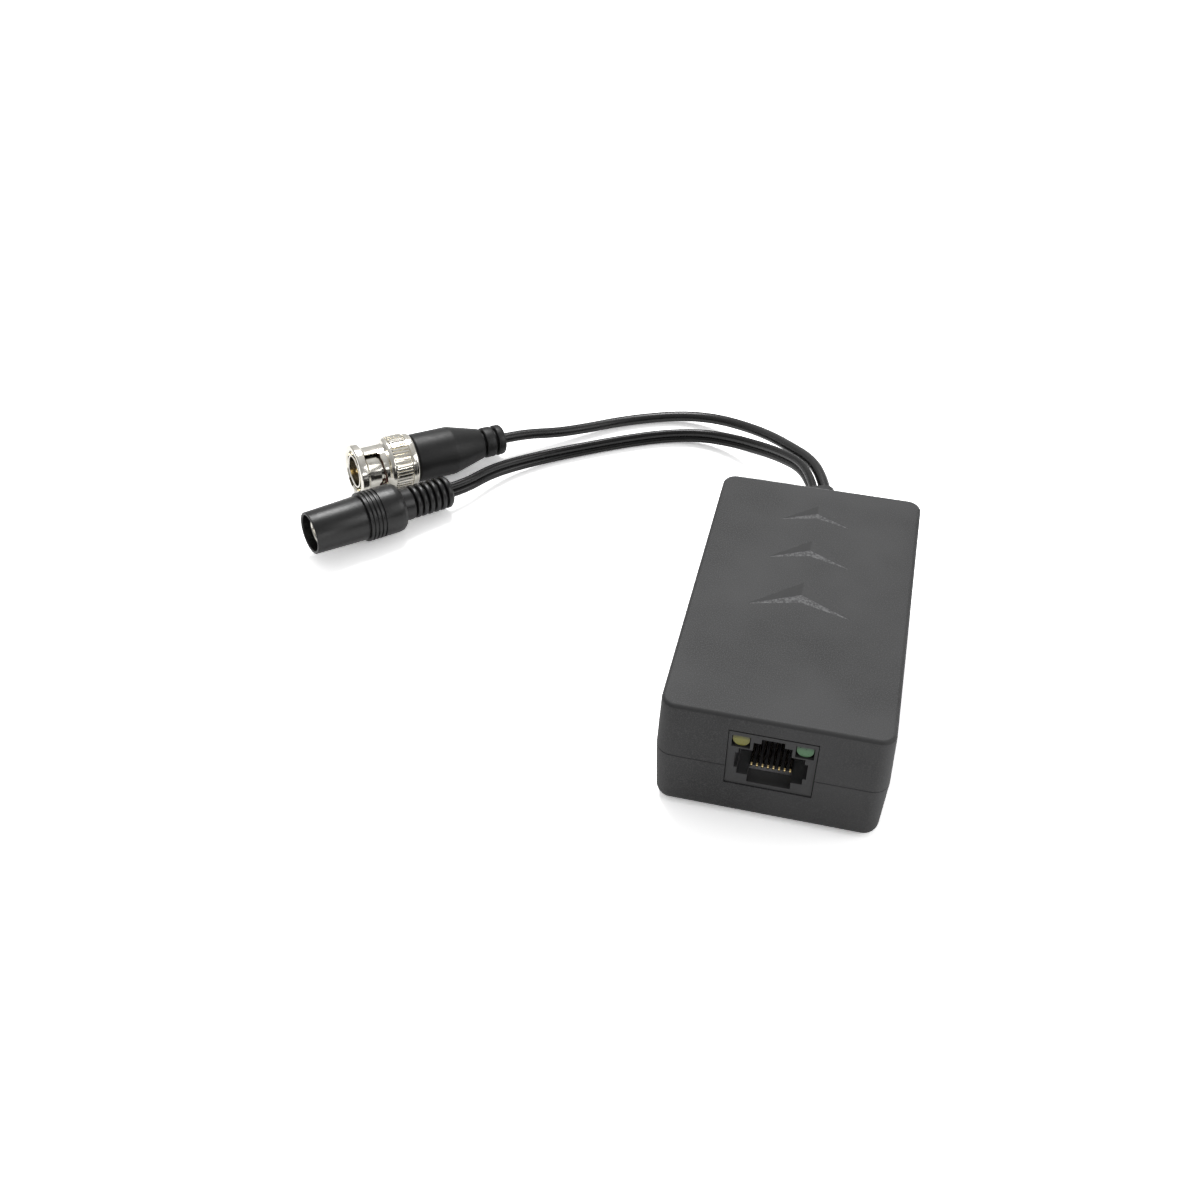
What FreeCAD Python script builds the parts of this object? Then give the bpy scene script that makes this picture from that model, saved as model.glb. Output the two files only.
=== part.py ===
"""CCTV video balun: a two-shell housing with an RJ45 jack, a BNC plug lead and a DC socket lead.

Millimetres. Origin at the middle of the housing's underside, +Z up, the jack's face towards -Y,
the leads leave the rear wall towards +Y.
"""
import FreeCAD, Part
import math
import os
from types import SimpleNamespace

import Sketcher
from FreeCAD import Placement, Rotation, Vector

doc = FreeCAD.newDocument("video_balun")
sheet = doc.addObject("Spreadsheet::Sheet", "Sizes")

# Driving dimensions, in millimetres and degrees
SIZES = [
    # housing
    ("housing_width", 42.8, "across the seam"),
    ("housing_length", 71.7, "front to rear at the seam"),
    ("housing_height", 26.2, "underside to top"),
    ("seam_height", 13.65, "parting line above the underside"),
    ("corner_radius", 3.3, "upright corners at the seam"),
    ("wall", 2.0, "side walls"),
    ("floor_thickness", 2.0, "floor and roof"),
    ("upper_draft", 2.3, "degrees"),
    ("lower_draft", 1.9, "degrees"),
    ("top_edge_radius", 0.84, "rounding round the top"),
    ("bottom_edge_radius", 2.55, "rounding round the underside"),
    ("lip_height", 1.2, "tongue of the lower shell above the seam"),
    ("lip_thickness", 0.9, "tongue's wall"),
    ("lip_clearance", 0.1, "round the tongue"),
    ("seam_groove", 0.12, "chamfer of both shells at the seam"),
    # chevrons sunk into the top
    ("chevron_half_width", 10.05, "largest chevron, middle to tip"),
    ("chevron_rise", 8.8, "largest chevron, tips to apex"),
    ("chevron_valley", 5.4, "largest chevron, tips to valley apex"),
    ("chevron_foot", 2.8, "largest chevron, tips to inner apex"),
    ("chevron_depth", 0.35, "largest chevron, depth of its valley"),
    ("chevron_front_y", -5.4, "tips of the largest chevron"),
    ("chevron_middle_y", 9.5, "tips of the middle chevron"),
    ("chevron_rear_y", 22.3, "tips of the smallest chevron"),
    ("chevron_middle_scale", 0.81, "of the largest"),
    ("chevron_rear_scale", 0.71, "of the largest"),
    # housing screws and their bosses
    ("boss_inset_x", 4.9, "boss axis from the outer side"),
    ("boss_inset_y", 5.2, "boss axis from the outer end"),
    ("boss_radius", 2.8, "outside"),
    ("boss_gap", 0.15, "upper boss to the lower one"),
    ("screw_radius", 1.15, "shank"),
    ("screw_length", 15.0, "shank under the head"),
    ("screw_head_radius", 2.1, "head"),
    ("screw_head_height", 1.6, "head"),
    ("screw_recess_depth", 3.6, "head's seat above the underside"),
    ("screw_clearance", 0.2, "round shank and head in the lower shell"),
    ("screw_pilot_clearance", 0.03, "round the shank in the upper boss"),
    ("drive_width", 0.6, "slots of the cross recess"),
    ("drive_depth", 0.8, "cross recess"),
    # circuit board
    ("board_thickness", 1.6, "board"),
    ("board_half_width", 13.1, "middle to side"),
    ("board_end_gap", 0.4, "board to the end walls"),
    ("post_x", 10.2, "board posts from the middle"),
    ("front_post_y", -8.0, "posts with pegs"),
    ("rear_post_inset", 11.85, "posts with screws from the outer end"),
    ("post_radius", 2.3, "posts"),
    ("peg_radius", 1.1, "locating pegs on the front posts"),
    ("peg_height", 1.2, "pegs above the post"),
    ("board_hole_clearance", 0.15, "round pegs and screws"),
    ("board_screw_radius", 0.9, "shank"),
    ("board_screw_length", 5.2, "shank under the head"),
    ("board_screw_head_radius", 1.7, "head"),
    ("board_screw_head_height", 1.2, "head"),
    # RJ45 jack
    ("jack_width", 16.0, "face"),
    ("jack_height", 13.5, "face"),
    ("jack_depth", 21.3, "front to rear"),
    ("jack_recess", 0.4, "face behind the housing's front"),
    ("jack_gap", 0.12, "cut-out at the jack's sides and underside"),
    ("jack_top_gap", 0.3, "cut-out above the jack"),
    ("jack_headroom", 1.7, "jack to the roof"),
    ("plug_depth", 12.6, "plug cavity"),
    ("plug_half_width", 6.0, "plug cavity"),
    ("plug_floor", 2.75, "plug cavity's floor above the jack's base"),
    ("plug_roof", 9.45, "plug cavity's roof"),
    ("rail_half_width", 6.6, "side grooves"),
    ("rail_floor", 4.3, "side grooves' lower edge"),
    ("rail_roof", 8.2, "side grooves' upper edge"),
    ("latch_half_width", 3.5, "latch recess"),
    ("latch_roof", 11.5, "latch recess"),
    ("latch_notch_half_width", 2.1, "latch notch"),
    ("latch_notch_roof", 12.7, "latch notch"),
    ("comb_half_width", 4.0, "contact recess in the floor"),
    ("comb_floor", 0.95, "contact recess"),
    ("comb_depth", 2.0, "contact recess behind the face"),
    ("lamp_pocket_inner", 4.05, "lamp pocket's inner side from the middle"),
    ("lamp_pocket_width", 3.35, "lamp pocket"),
    ("lamp_pocket_floor", 9.75, "above the jack's base"),
    ("lamp_pocket_height", 2.9, "lamp pocket"),
    ("lamp_length", 9.0, "lens"),
    ("lamp_recess", 0.35, "lens behind the jack's face"),
    ("lamp_gap", 0.15, "lens to its pocket"),
    ("carrier_half_width", 6.2, "contact carrier"),
    ("carrier_floor", 0.9, "carrier above the jack's base"),
    ("carrier_height", 7.6, "carrier"),
    ("carrier_length", 8.4, "carrier behind the plug cavity"),
    ("carrier_gap", 0.1, "carrier in the jack"),
    ("tongue_top", 2.1, "carrier's tongue above the jack's base"),
    ("tongue_gap", 1.2, "tongue's tip behind the recess's front wall"),
    ("contact_pitch", 1.02, "contact to contact"),
    ("contact_width", 0.42, "contact wire"),
    ("contact_thickness", 0.3, "contact wire"),
    ("contact_bend", 0.3, "inner radius of the front bend"),
    ("contact_front", 2.5, "front bend behind the face"),
    ("contact_reach", 10.6, "free end behind the face"),
    ("contact_rise", 4.9, "free end above the jack's base"),
    ("jack_peg_radius", 1.6, "board pegs under the jack"),
    ("jack_peg_x", 5.72, "pegs from the middle"),
    ("jack_peg_y", 8.9, "pegs behind the face"),
    ("jack_peg_length", 2.6, "pegs"),
    # parts on the board
    ("transformer_length", 9.6, "along the board"),
    ("transformer_width", 8.6, "across the board"),
    ("transformer_height", 5.6, "above the board"),
    ("transformer_y", -4.5, "middle"),
    ("choke_radius", 3.4, "core's middle line"),
    ("choke_core_radius", 1.5, "core's section"),
    ("choke_x", -7.0, "middle"),
    ("choke_y", 7.2, "middle"),
    ("choke_turns", 14, "wire turns on the core"),
    ("fuse_radius", 3.7, "disc"),
    ("fuse_thickness", 3.0, "disc"),
    ("fuse_x", 7.2, "middle"),
    ("fuse_y", 6.0, "middle"),
    ("capacitor_length", 7.2, "across the board"),
    ("capacitor_width", 3.6, "along the board"),
    ("capacitor_height", 6.4, "above the board"),
    ("capacitor_x", 6.6, "middle"),
    ("capacitor_y", 14.6, "middle"),
    ("diode_radius", 1.35, "body"),
    ("diode_length", 5.2, "body"),
    ("diode_x", -6.8, "middle"),
    ("diode_y", 15.6, "middle"),
    ("part_lead_radius", 0.35, "component legs"),
    ("part_lead_length", 2.4, "legs through the board"),
    ("part_standoff", 0.3, "components above the board"),
    # gland in the rear wall
    ("gland_half_width", 4.3, "body at the wall"),
    ("gland_half_height", 3.3, "body at the wall"),
    ("gland_tip_half_width", 3.1, "body at its tip"),
    ("gland_tip_half_height", 2.5, "body at its tip"),
    ("gland_length", 14.0, "outside the wall"),
    ("gland_tip_shift", -0.8, "tip's sideways bend"),
    ("gland_lean", 14.0, "degrees that the tip's face turns sideways"),
    ("gland_collar", 0.7, "collar proud of the body"),
    ("gland_collar_length", 2.0, "collar outside the wall"),
    ("gland_flange", 1.2, "inner flange proud of the neck"),
    ("gland_flange_length", 1.6, "inner flange"),
    ("gland_flange_gap", 0.35, "inner flange to the drafted wall"),
    ("gland_core", 0.45, "grooves stop this far inside the tip's outline"),
    ("gland_groove_width", 1.0, "flex grooves"),
    ("gland_groove_pitch", 2.6, "flex grooves"),
    ("gland_groove_count", 4, "flex grooves"),
    ("gland_fit", 0.1, "gland in the wall's opening"),
    # leads
    ("video_cord_diameter", 2.6, "round coax lead"),
    ("power_cord_diameter", 2.6, "twin lead as a round of like section"),
    ("cord_spacing", 2.85, "leads at the gland's tip"),
    ("tail_diameter", 1.3, "wires inside the housing"),
    ("tail_reach", 6.4, "longest wire, gland to board"),
    # BNC plug, measured from the coupling's front face
    ("bnc_front_x", -110.21, "middle of the front face"),
    ("bnc_front_y", 39.0, "middle of the front face"),
    ("bnc_heading", 41.64, "degrees, front to rear"),
    ("bnc_tilt", 4.42, "degrees that the front is raised"),
    ("coupling_length", 14.75, "coupling sleeve"),
    ("coupling_rim_radius", 6.39, "front rim"),
    ("coupling_rim_length", 1.7, "front rim"),
    ("coupling_neck_start", 2.4, "end of the rim's cone"),
    ("coupling_neck_radius", 5.33, "sleeve behind the rim"),
    ("coupling_shoulder", 7.4, "start of the shoulder"),
    ("coupling_ring_radius", 6.5, "plain ring"),
    ("knurl_start", 8.75, "fluted ring"),
    ("knurl_length", 4.0, "fluted ring"),
    ("knurl_radius", 6.74, "fluted ring"),
    ("knurl_depth", 0.24, "flutes"),
    ("knurl_count", 58, "flutes"),
    ("coupling_bore", 4.88, "sleeve's bore radius"),
    ("coupling_chamber", 5.55, "radius of the spring chamber"),
    ("chamber_start", 9.1, "spring chamber's front"),
    ("lip_start", 13.3, "retaining lip's front"),
    ("lip_radius", 4.45, "retaining lip's bore"),
    ("stud_groove_radius", 5.65, "bayonet groove's floor"),
    ("stud_width", 2.0, "bayonet's entry groove"),
    ("ramp_width", 1.5, "bayonet ramp"),
    ("detent_width", 2.3, "round end of the ramp"),
    ("ramp_start", 5.18, "ramp's middle at the entry"),
    ("ramp_advance", 1.08, "along the axis"),
    ("ramp_angle", 85.0, "degrees round the sleeve"),
    ("entry_angle", 65.0, "degrees of the visible entry above level"),
    ("detent_step", 0.5, "detent forward of the ramp's end"),
    ("outer_contact_radius", 4.02, "outside"),
    ("outer_contact_wall", 0.45, "wall"),
    ("outer_contact_front", 0.1, "behind the coupling's front"),
    ("outer_contact_seat", 0.2, "thicker behind the gasket's front"),
    ("gasket_front", 6.5, "gasket"),
    ("gasket_radius", 4.75, "gasket"),
    ("body_front", 8.8, "plug body's front face"),
    ("body_radius", 4.7, "plug body in the sleeve's bore"),
    ("body_flange_start", 10.2, "plug body's flange"),
    ("body_flange_end", 11.5, "plug body's flange"),
    ("body_flange_radius", 5.3, "plug body's flange"),
    ("body_neck_radius", 4.2, "plug body through the lip and in the boot"),
    ("body_end", 20.0, "plug body's rear end"),
    ("outer_contact_end", 10.0, "outer contact's rear end in the body"),
    ("washer_thickness", 0.5, "thrust washer"),
    ("washer_gap", 0.05, "thrust washer to the lip"),
    ("wave_thickness", 0.25, "wave washer's metal"),
    ("wave_count", 3, "waves round the washer"),
    ("ring_clearance", 0.15, "washers to neck and chamber"),
    ("insulator_front", 4.6, "insulator"),
    ("insulator_end", 12.0, "insulator"),
    ("pin_radius", 0.68, "centre pin"),
    ("pin_front", 0.65, "centre pin's tip"),
    ("pin_end", 14.0, "centre pin"),
    ("boot_gap", 0.25, "boot behind the coupling"),
    ("boot_radius", 5.89, "boot's grip"),
    ("boot_grip_end", 24.9, "boot's grip"),
    ("boot_taper_radius", 3.73, "boot's narrow end"),
    ("boot_taper_end", 32.95, "boot's taper"),
    ("boot_ring_radius", 3.77, "boot's end rings"),
    ("boot_groove_radius", 2.9, "between the end rings"),
    ("boot_groove_width", 0.6, "between the end rings"),
    ("boot_ring_length", 2.57, "first end ring"),
    ("boot_length_end", 38.87, "boot's rear face"),
    # DC socket, measured from its mouth
    ("dc_front_x", -111.5, "middle of the mouth"),
    ("dc_front_y", 15.17, "middle of the mouth"),
    ("dc_heading", 46.87, "degrees, front to rear"),
    ("dc_tilt", 4.0, "degrees that the mouth is raised"),
    ("dc_mouth_radius", 4.93, "outside at the mouth"),
    ("dc_cone_radius", 5.28, "outside at the step"),
    ("dc_cone_end", 22.93, "step, before the rear end"),
    ("dc_grip_radius", 5.84, "grip"),
    ("dc_grip_start", 22.55, "grip's front, before the rear end"),
    ("dc_grip_end", 14.7, "grip's rear, before the rear end"),
    ("dc_shoulder_radius", 4.6, "end of the grip's rounding"),
    ("dc_shoulder_end", 12.9, "end of the grip's rounding, before the rear end"),
    ("dc_neck_radius", 3.91, "neck and strain relief"),
    ("dc_rib_start", 10.2, "first strain relief groove, before the rear end"),
    ("dc_ring_start", 21.96, "first grip groove, before the rear end"),
    ("dc_ring_pitch", 0.975, "grip grooves"),
    ("dc_ring_width", 0.38, "grip grooves"),
    ("dc_ring_depth", 0.3, "grip grooves"),
    ("dc_ring_count", 4, "grip grooves"),
    ("dc_rib_pitch", 1.63, "strain relief grooves"),
    ("dc_rib_gap", 0.5, "strain relief grooves"),
    ("dc_rib_depth", 0.9, "strain relief grooves"),
    ("dc_rib_count", 6, "strain relief grooves"),
    ("dc_end_radius", 3.64, "end collar"),
    ("dc_length", 35.39, "mouth to end"),
    ("dc_mouth_bore", 4.25, "mouth's bore radius"),
    ("dc_face_depth", 1.8, "insert's face behind the mouth"),
    ("dc_insert_end", 21.4, "insert's rear, before the rear end"),
    ("dc_bore", 2.95, "radius that takes the mating barrel"),
    ("dc_contact_wall", 0.35, "barrel contact"),
    ("dc_contact_end", 24.2, "bore's floor, before the rear end"),
    ("dc_pin_radius", 1.0, "centre pin"),
    ("dc_pin_seat", 0.35, "centre pin thicker in the insert's floor"),
    ("dc_pin_front", 2.6, "centre pin's tip"),
    ("dc_pin_flange", 22.6, "centre pin's flange, before the rear end"),
    ("floor_clearance", 0.05, "connectors above the surface that the housing stands on"),
]


class Dim:
    """A size that carries its number and the sheet expression behind it."""

    def __init__(self, number, text):
        self.number = float(number)
        self.text = text

    def __add__(self, other):
        other = as_dim(other)
        return Dim(self.number + other.number, f"({self.text} + {other.text})")

    def __sub__(self, other):
        other = as_dim(other)
        return Dim(self.number - other.number, f"({self.text} - {other.text})")

    def __mul__(self, other):
        other = as_dim(other)
        return Dim(self.number * other.number, f"({self.text} * {other.text})")

    def __truediv__(self, other):
        other = as_dim(other)
        return Dim(self.number / other.number, f"({self.text} / {other.text})")

    def __neg__(self):
        return Dim(-self.number, f"(-1 * {self.text})")

    def __radd__(self, other):
        return as_dim(other) + self

    def __rsub__(self, other):
        return as_dim(other) - self

    __rmul__ = __mul__


def as_dim(value):
    return value if isinstance(value, Dim) else Dim(value, f"({float(value)!r})")


def sine(angle):
    """Sine of an angle that the sheet holds in degrees."""
    return Dim(math.sin(math.radians(angle.number)), f"sin({angle.text} * 1 deg)")


def cosine(angle):
    return Dim(math.cos(math.radians(angle.number)), f"cos({angle.text} * 1 deg)")


def fill_sheet():
    """Write the sizes into the sheet and hand them back by name."""
    named = {}
    for row, (alias, number, note) in enumerate(SIZES, 1):
        sheet.set(f"A{row}", alias)
        sheet.set(f"B{row}", str(number))
        sheet.set(f"C{row}", note)
        sheet.setAlias(f"B{row}", alias)
        named[alias] = Dim(number, f"Sizes.{alias}")
    doc.recompute()
    return SimpleNamespace(**named)


S = fill_sheet()
ZERO = as_dim(0.0)


# Helpers: bodies, sketches and features bound to the sheet

def new_body(label):
    body = doc.addObject("PartDesign::Body", label)
    body.Label = label
    return body


def origin_feature(body, role):
    return next(item for item in body.Origin.OriginFeatures if item.Role == role)


def new_sketch(body, role, name, offset=None):
    """A sketch on one of the body's origin planes, moved along the plane's normal."""
    sketch = body.newObject("Sketcher::SketchObject", name)
    sketch.AttachmentSupport = [(origin_feature(body, role), "")]
    sketch.MapMode = "FlatFace"
    if offset is not None:
        sketch.AttachmentOffset = Placement(Vector(0, 0, offset.number), Rotation())
        sketch.setExpression("AttachmentOffset.Base.z", offset.text)
    return sketch


def bind(sketch, kind, *target):
    """Add one dimension to a sketch and bind it; the last item of target is the size."""
    size = as_dim(target[-1])
    index = sketch.addConstraint(Sketcher.Constraint(kind, *target[:-1], size.number))
    sketch.setExpression(f"Constraints[{index}]", size.text)


def pin_point(sketch, item, end, across, up):
    """Fix one point of the sketch by its two distances from the origin."""
    across, up = as_dim(across), as_dim(up)
    if across.text == ZERO.text:
        sketch.addConstraint(Sketcher.Constraint("PointOnObject", item, end, -2))
    else:
        bind(sketch, "DistanceX", -1, 1, item, end, across)
    if up.text == ZERO.text:
        sketch.addConstraint(Sketcher.Constraint("PointOnObject", item, end, -1))
    else:
        bind(sketch, "DistanceY", -1, 1, item, end, up)


def add_outline(sketch, corners):
    """A closed outline of straight lines through bound corners."""
    corners = [(as_dim(across), as_dim(up)) for across, up in corners]
    points = [Vector(across.number, up.number, 0) for across, up in corners]
    items = []
    for start, end in zip(points, points[1:] + points[:1]):
        items.append(sketch.addGeometry(Part.LineSegment(start, end), False))
    for this, following in zip(items, items[1:] + items[:1]):
        sketch.addConstraint(Sketcher.Constraint("Coincident", this, 2, following, 1))
    for item, (across, up) in zip(items, corners):
        pin_point(sketch, item, 1, across, up)


def add_rectangle(sketch, left, right, low, high):
    add_outline(sketch, [(left, low), (right, low), (right, high), (left, high)])


def add_circle(sketch, across, up, radius):
    centre = Vector(as_dim(across).number, as_dim(up).number, 0)
    item = sketch.addGeometry(Part.Circle(centre, Vector(0, 0, 1), radius.number), False)
    bind(sketch, "Radius", item, radius)
    pin_point(sketch, item, 3, across, up)


def add_rounded_rectangle(sketch, half_width, half_length, radius, across=ZERO, up=ZERO):
    """Four lines and four tangent arcs about a bound middle."""
    radius = as_dim(radius)
    corners = []
    for turn, (side, end) in enumerate([(1, 1), (-1, 1), (-1, -1), (1, -1)]):
        centre = (across + side * (half_width - radius), up + end * (half_length - radius))
        arc = Part.ArcOfCircle(
            Part.Circle(Vector(centre[0].number, centre[1].number, 0), Vector(0, 0, 1), radius.number),
            turn * math.pi / 2,
            (turn + 1) * math.pi / 2,
        )
        item = sketch.addGeometry(arc, False)
        bind(sketch, "Radius", item, radius)
        pin_point(sketch, item, 3, *centre)
        corners.append((item, arc))
    for (this, first), (following, second) in zip(corners, corners[1:] + corners[:1]):
        line = sketch.addGeometry(Part.LineSegment(first.EndPoint, second.StartPoint), False)
        sketch.addConstraint(Sketcher.Constraint("Tangent", this, 2, line, 1))
        sketch.addConstraint(Sketcher.Constraint("Tangent", line, 2, following, 1))


def feature(body, kind, sketch, length, back=False, draft=None):
    """Pad or Pocket of one sketch; back turns it against the sketch's normal."""
    item = body.newObject(f"PartDesign::{kind}", f"{kind}_{sketch.Name}")
    item.Profile = sketch
    item.Reversed = back
    item.setExpression("Length", as_dim(length).text)
    if draft is not None:
        item.setExpression("TaperAngle", draft.text)
    sketch.Visibility = False
    return item


def round_edges(body, kind, name, size, test):
    """Fillet or chamfer the edges of the body's tip that pass the test."""
    doc.recompute()
    tip = body.Tip
    chosen = [f"Edge{i}" for i, edge in enumerate(tip.Shape.Edges, 1) if test(edge.BoundBox)]
    item = body.newObject(f"PartDesign::{kind}", name)
    item.Base = (tip, chosen)
    item.setExpression("Radius" if kind == "Fillet" else "Size", size.text)
    return item


def pattern(body, kind, name, originals, axis, count, **values):
    """A polar or linear pattern of features about one of the body's axes."""
    item = body.newObject(f"PartDesign::{kind}Pattern", name)
    item.Originals = originals
    if kind == "Polar":
        item.Axis = (origin_feature(body, axis), [""])
        item.Angle = 360
    else:
        item.Direction = (origin_feature(body, axis), [""])
        item.Mode = "Spacing"
        item.setExpression("Offset", values["pitch"].text)
    item.setExpression("Occurrences", as_dim(count).text)
    body.Tip = item
    return item


def revolved(label, profile):
    """A body turned about its own X axis from (along, radius) corners."""
    body = new_body(label)
    sketch = new_sketch(body, "XY_Plane", f"{label}_profile")
    add_outline(sketch, profile)
    turn = body.newObject("PartDesign::Revolution", f"{label}_turned")
    turn.Profile = sketch
    turn.ReferenceAxis = (sketch, ["H_Axis"])
    turn.Angle = 360
    sketch.Visibility = False
    return body


def place(item, across=ZERO, along=ZERO, up=ZERO, heading=ZERO, tilt=ZERO):
    """Bind an object's Placement; heading turns it about Z, then tilt raises its own -X end."""
    across, along, up = as_dim(across), as_dim(along), as_dim(up)
    turn = Rotation(Vector(0, 0, 1), heading.number) * Rotation(Vector(0, 1, 0), tilt.number)
    item.Placement = Placement(Vector(across.number, along.number, up.number), turn)
    item.setExpression(
        "Placement",
        f"placement(vector({across.text}; {along.text}; {up.text}); "
        f"rotation(vector(0; 0; 1); {heading.text}) * rotation(vector(0; 1; 0); {tilt.text}))",
    )
    return item


def shaped(label, shape):
    """A plain Part feature for a form that neither sketches nor primitives give."""
    item = doc.addObject("Part::Feature", label)
    item.Label = label
    item.Shape = shape
    return item


def cut(label, base, tool):
    item = doc.addObject("Part::Cut", label)
    item.Label = label
    item.Base = base
    item.Tool = tool
    return item


# Places that more than one piece uses

HALF_WIDTH = S.housing_width / 2
HALF_LENGTH = S.housing_length / 2
BOSS_X = HALF_WIDTH - S.boss_inset_x
BOSS_Y = HALF_LENGTH - S.boss_inset_y
FRONT_INNER = -HALF_LENGTH + S.wall
REAR_INNER = HALF_LENGTH - S.wall
JACK_FRONT = -HALF_LENGTH + S.jack_recess
JACK_TOP = S.housing_height - S.floor_thickness - S.jack_headroom
BOARD_TOP = JACK_TOP - S.jack_height
BOARD_BOTTOM = BOARD_TOP - S.board_thickness
REAR_POST_Y = HALF_LENGTH - S.rear_post_inset
GLAND_NECK_HALF_WIDTH = S.gland_half_width - S.gland_fit
GLAND_NECK_HALF_HEIGHT = S.gland_half_height - S.gland_fit
GLAND_TIP_Y = HALF_LENGTH + S.gland_length
POSTS = [(S.post_x, S.front_post_y), (-S.post_x, S.front_post_y)]
SCREW_POSTS = [(S.post_x, REAR_POST_Y), (-S.post_x, REAR_POST_Y)]
BOSSES = [(BOSS_X, BOSS_Y), (-BOSS_X, BOSS_Y), (-BOSS_X, -BOSS_Y), (BOSS_X, -BOSS_Y)]


# Housing

def shell_outline(body, name, inset, offset):
    sketch = new_sketch(body, "XY_Plane", name, offset)
    add_rounded_rectangle(sketch, HALF_WIDTH - inset, HALF_LENGTH - inset, S.corner_radius - inset)
    return sketch


def wall_openings(body, name, low, high):
    """Pockets through the front wall for the jack and the rear wall for the gland."""
    front = new_sketch(body, "XZ_Plane", f"{name}_jack", HALF_LENGTH + 1)
    half = S.jack_width / 2 + S.jack_gap
    add_rectangle(front, -half, half, low, high)
    feature(body, "Pocket", front, S.wall + 2.5, back=False)
    rear = new_sketch(body, "XZ_Plane", f"{name}_gland", -(HALF_LENGTH + 1))
    add_rectangle(
        rear,
        -S.gland_half_width,
        S.gland_half_width,
        S.seam_height - S.gland_half_height,
        S.seam_height + S.gland_half_height,
    )
    feature(body, "Pocket", rear, S.wall + 2.5, back=True)


def circles(body, name, offset, centres, radius):
    sketch = new_sketch(body, "XY_Plane", name, offset)
    for across, along in centres:
        add_circle(sketch, across, along, radius)
    return sketch


def lower_housing():
    """Tray with drafted walls, a tongue at the seam, screw bosses and board posts."""
    body = new_body("lower_housing")
    outer = shell_outline(body, "lower_outer", ZERO, S.seam_height)
    feature(body, "Pad", outer, S.seam_height, back=True, draft=-S.lower_draft)
    round_edges(body, "Fillet", "lower_edge", S.bottom_edge_radius, lambda box: box.ZMax < 0.01)
    seam = S.seam_height.number
    round_edges(body, "Chamfer", "lower_seam", S.seam_groove, lambda box: box.ZMin > seam - 0.01)
    tongue = shell_outline(body, "lower_tongue", S.wall - S.lip_thickness, S.seam_height - 0.5)
    feature(body, "Pad", tongue, S.lip_height + 0.5)
    cavity = shell_outline(body, "lower_cavity", S.wall, S.seam_height + S.lip_height)
    depth = S.seam_height + S.lip_height - S.floor_thickness
    feature(body, "Pocket", cavity, depth, draft=-S.lower_draft)
    bosses = circles(body, "lower_bosses", S.floor_thickness / 2, BOSSES, S.boss_radius)
    feature(body, "Pad", bosses, S.seam_height - S.floor_thickness / 2)
    recess = circles(body, "lower_recesses", ZERO, BOSSES, S.screw_head_radius + S.screw_clearance)
    feature(body, "Pocket", recess, S.screw_recess_depth, back=True)
    holes = circles(body, "lower_holes", ZERO, BOSSES, S.screw_radius + S.screw_clearance)
    feature(body, "Pocket", holes, S.seam_height + S.lip_height + 1, back=True)
    posts = circles(body, "board_posts", S.floor_thickness / 2, POSTS + SCREW_POSTS, S.post_radius)
    feature(body, "Pad", posts, BOARD_BOTTOM - S.floor_thickness / 2)
    pegs = circles(body, "board_pegs", BOARD_BOTTOM - 1, POSTS, S.peg_radius)
    feature(body, "Pad", pegs, S.peg_height + 1)
    pilots = circles(body, "post_pilots", BOARD_BOTTOM, SCREW_POSTS, S.board_screw_radius + 0.03)
    feature(body, "Pocket", pilots, S.board_screw_length)
    wall_openings(body, "lower", BOARD_TOP - S.jack_gap, S.seam_height + S.lip_height + 1)
    return body


def chevron_cutter(scale, tips_y):
    """Two slanted facets that meet in a valley, one half each side of the middle line."""
    top = S.housing_height.number
    half = S.chevron_half_width.number * scale
    depth = S.chevron_depth.number * scale
    lift = 0.2
    grow = 1 + lift / depth
    valley_y = tips_y + S.chevron_valley.number * scale
    valley = Vector(0, valley_y, top - depth)
    rim = [
        Vector(-half, tips_y, top),
        Vector(0, tips_y + S.chevron_foot.number * scale, top),
        Vector(half, tips_y, top),
        Vector(0, tips_y + S.chevron_rise.number * scale, top),
    ]
    rim = [valley + (point - valley) * grow for point in rim]
    left, foot, right, apex = rim
    halves = []
    for tip in (left, right):
        faces = [
            Part.Face(Part.makePolygon([a, b, c, a]))
            for a, b, c in ((tip, foot, apex), (tip, foot, valley), (tip, valley, apex), (foot, valley, apex))
        ]
        halves.append(Part.Solid(Part.Shell(faces)))
    for solid in halves:
        if solid.Volume < 0:
            solid.reverse()
    return halves[0].fuse(halves[1])


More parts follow.
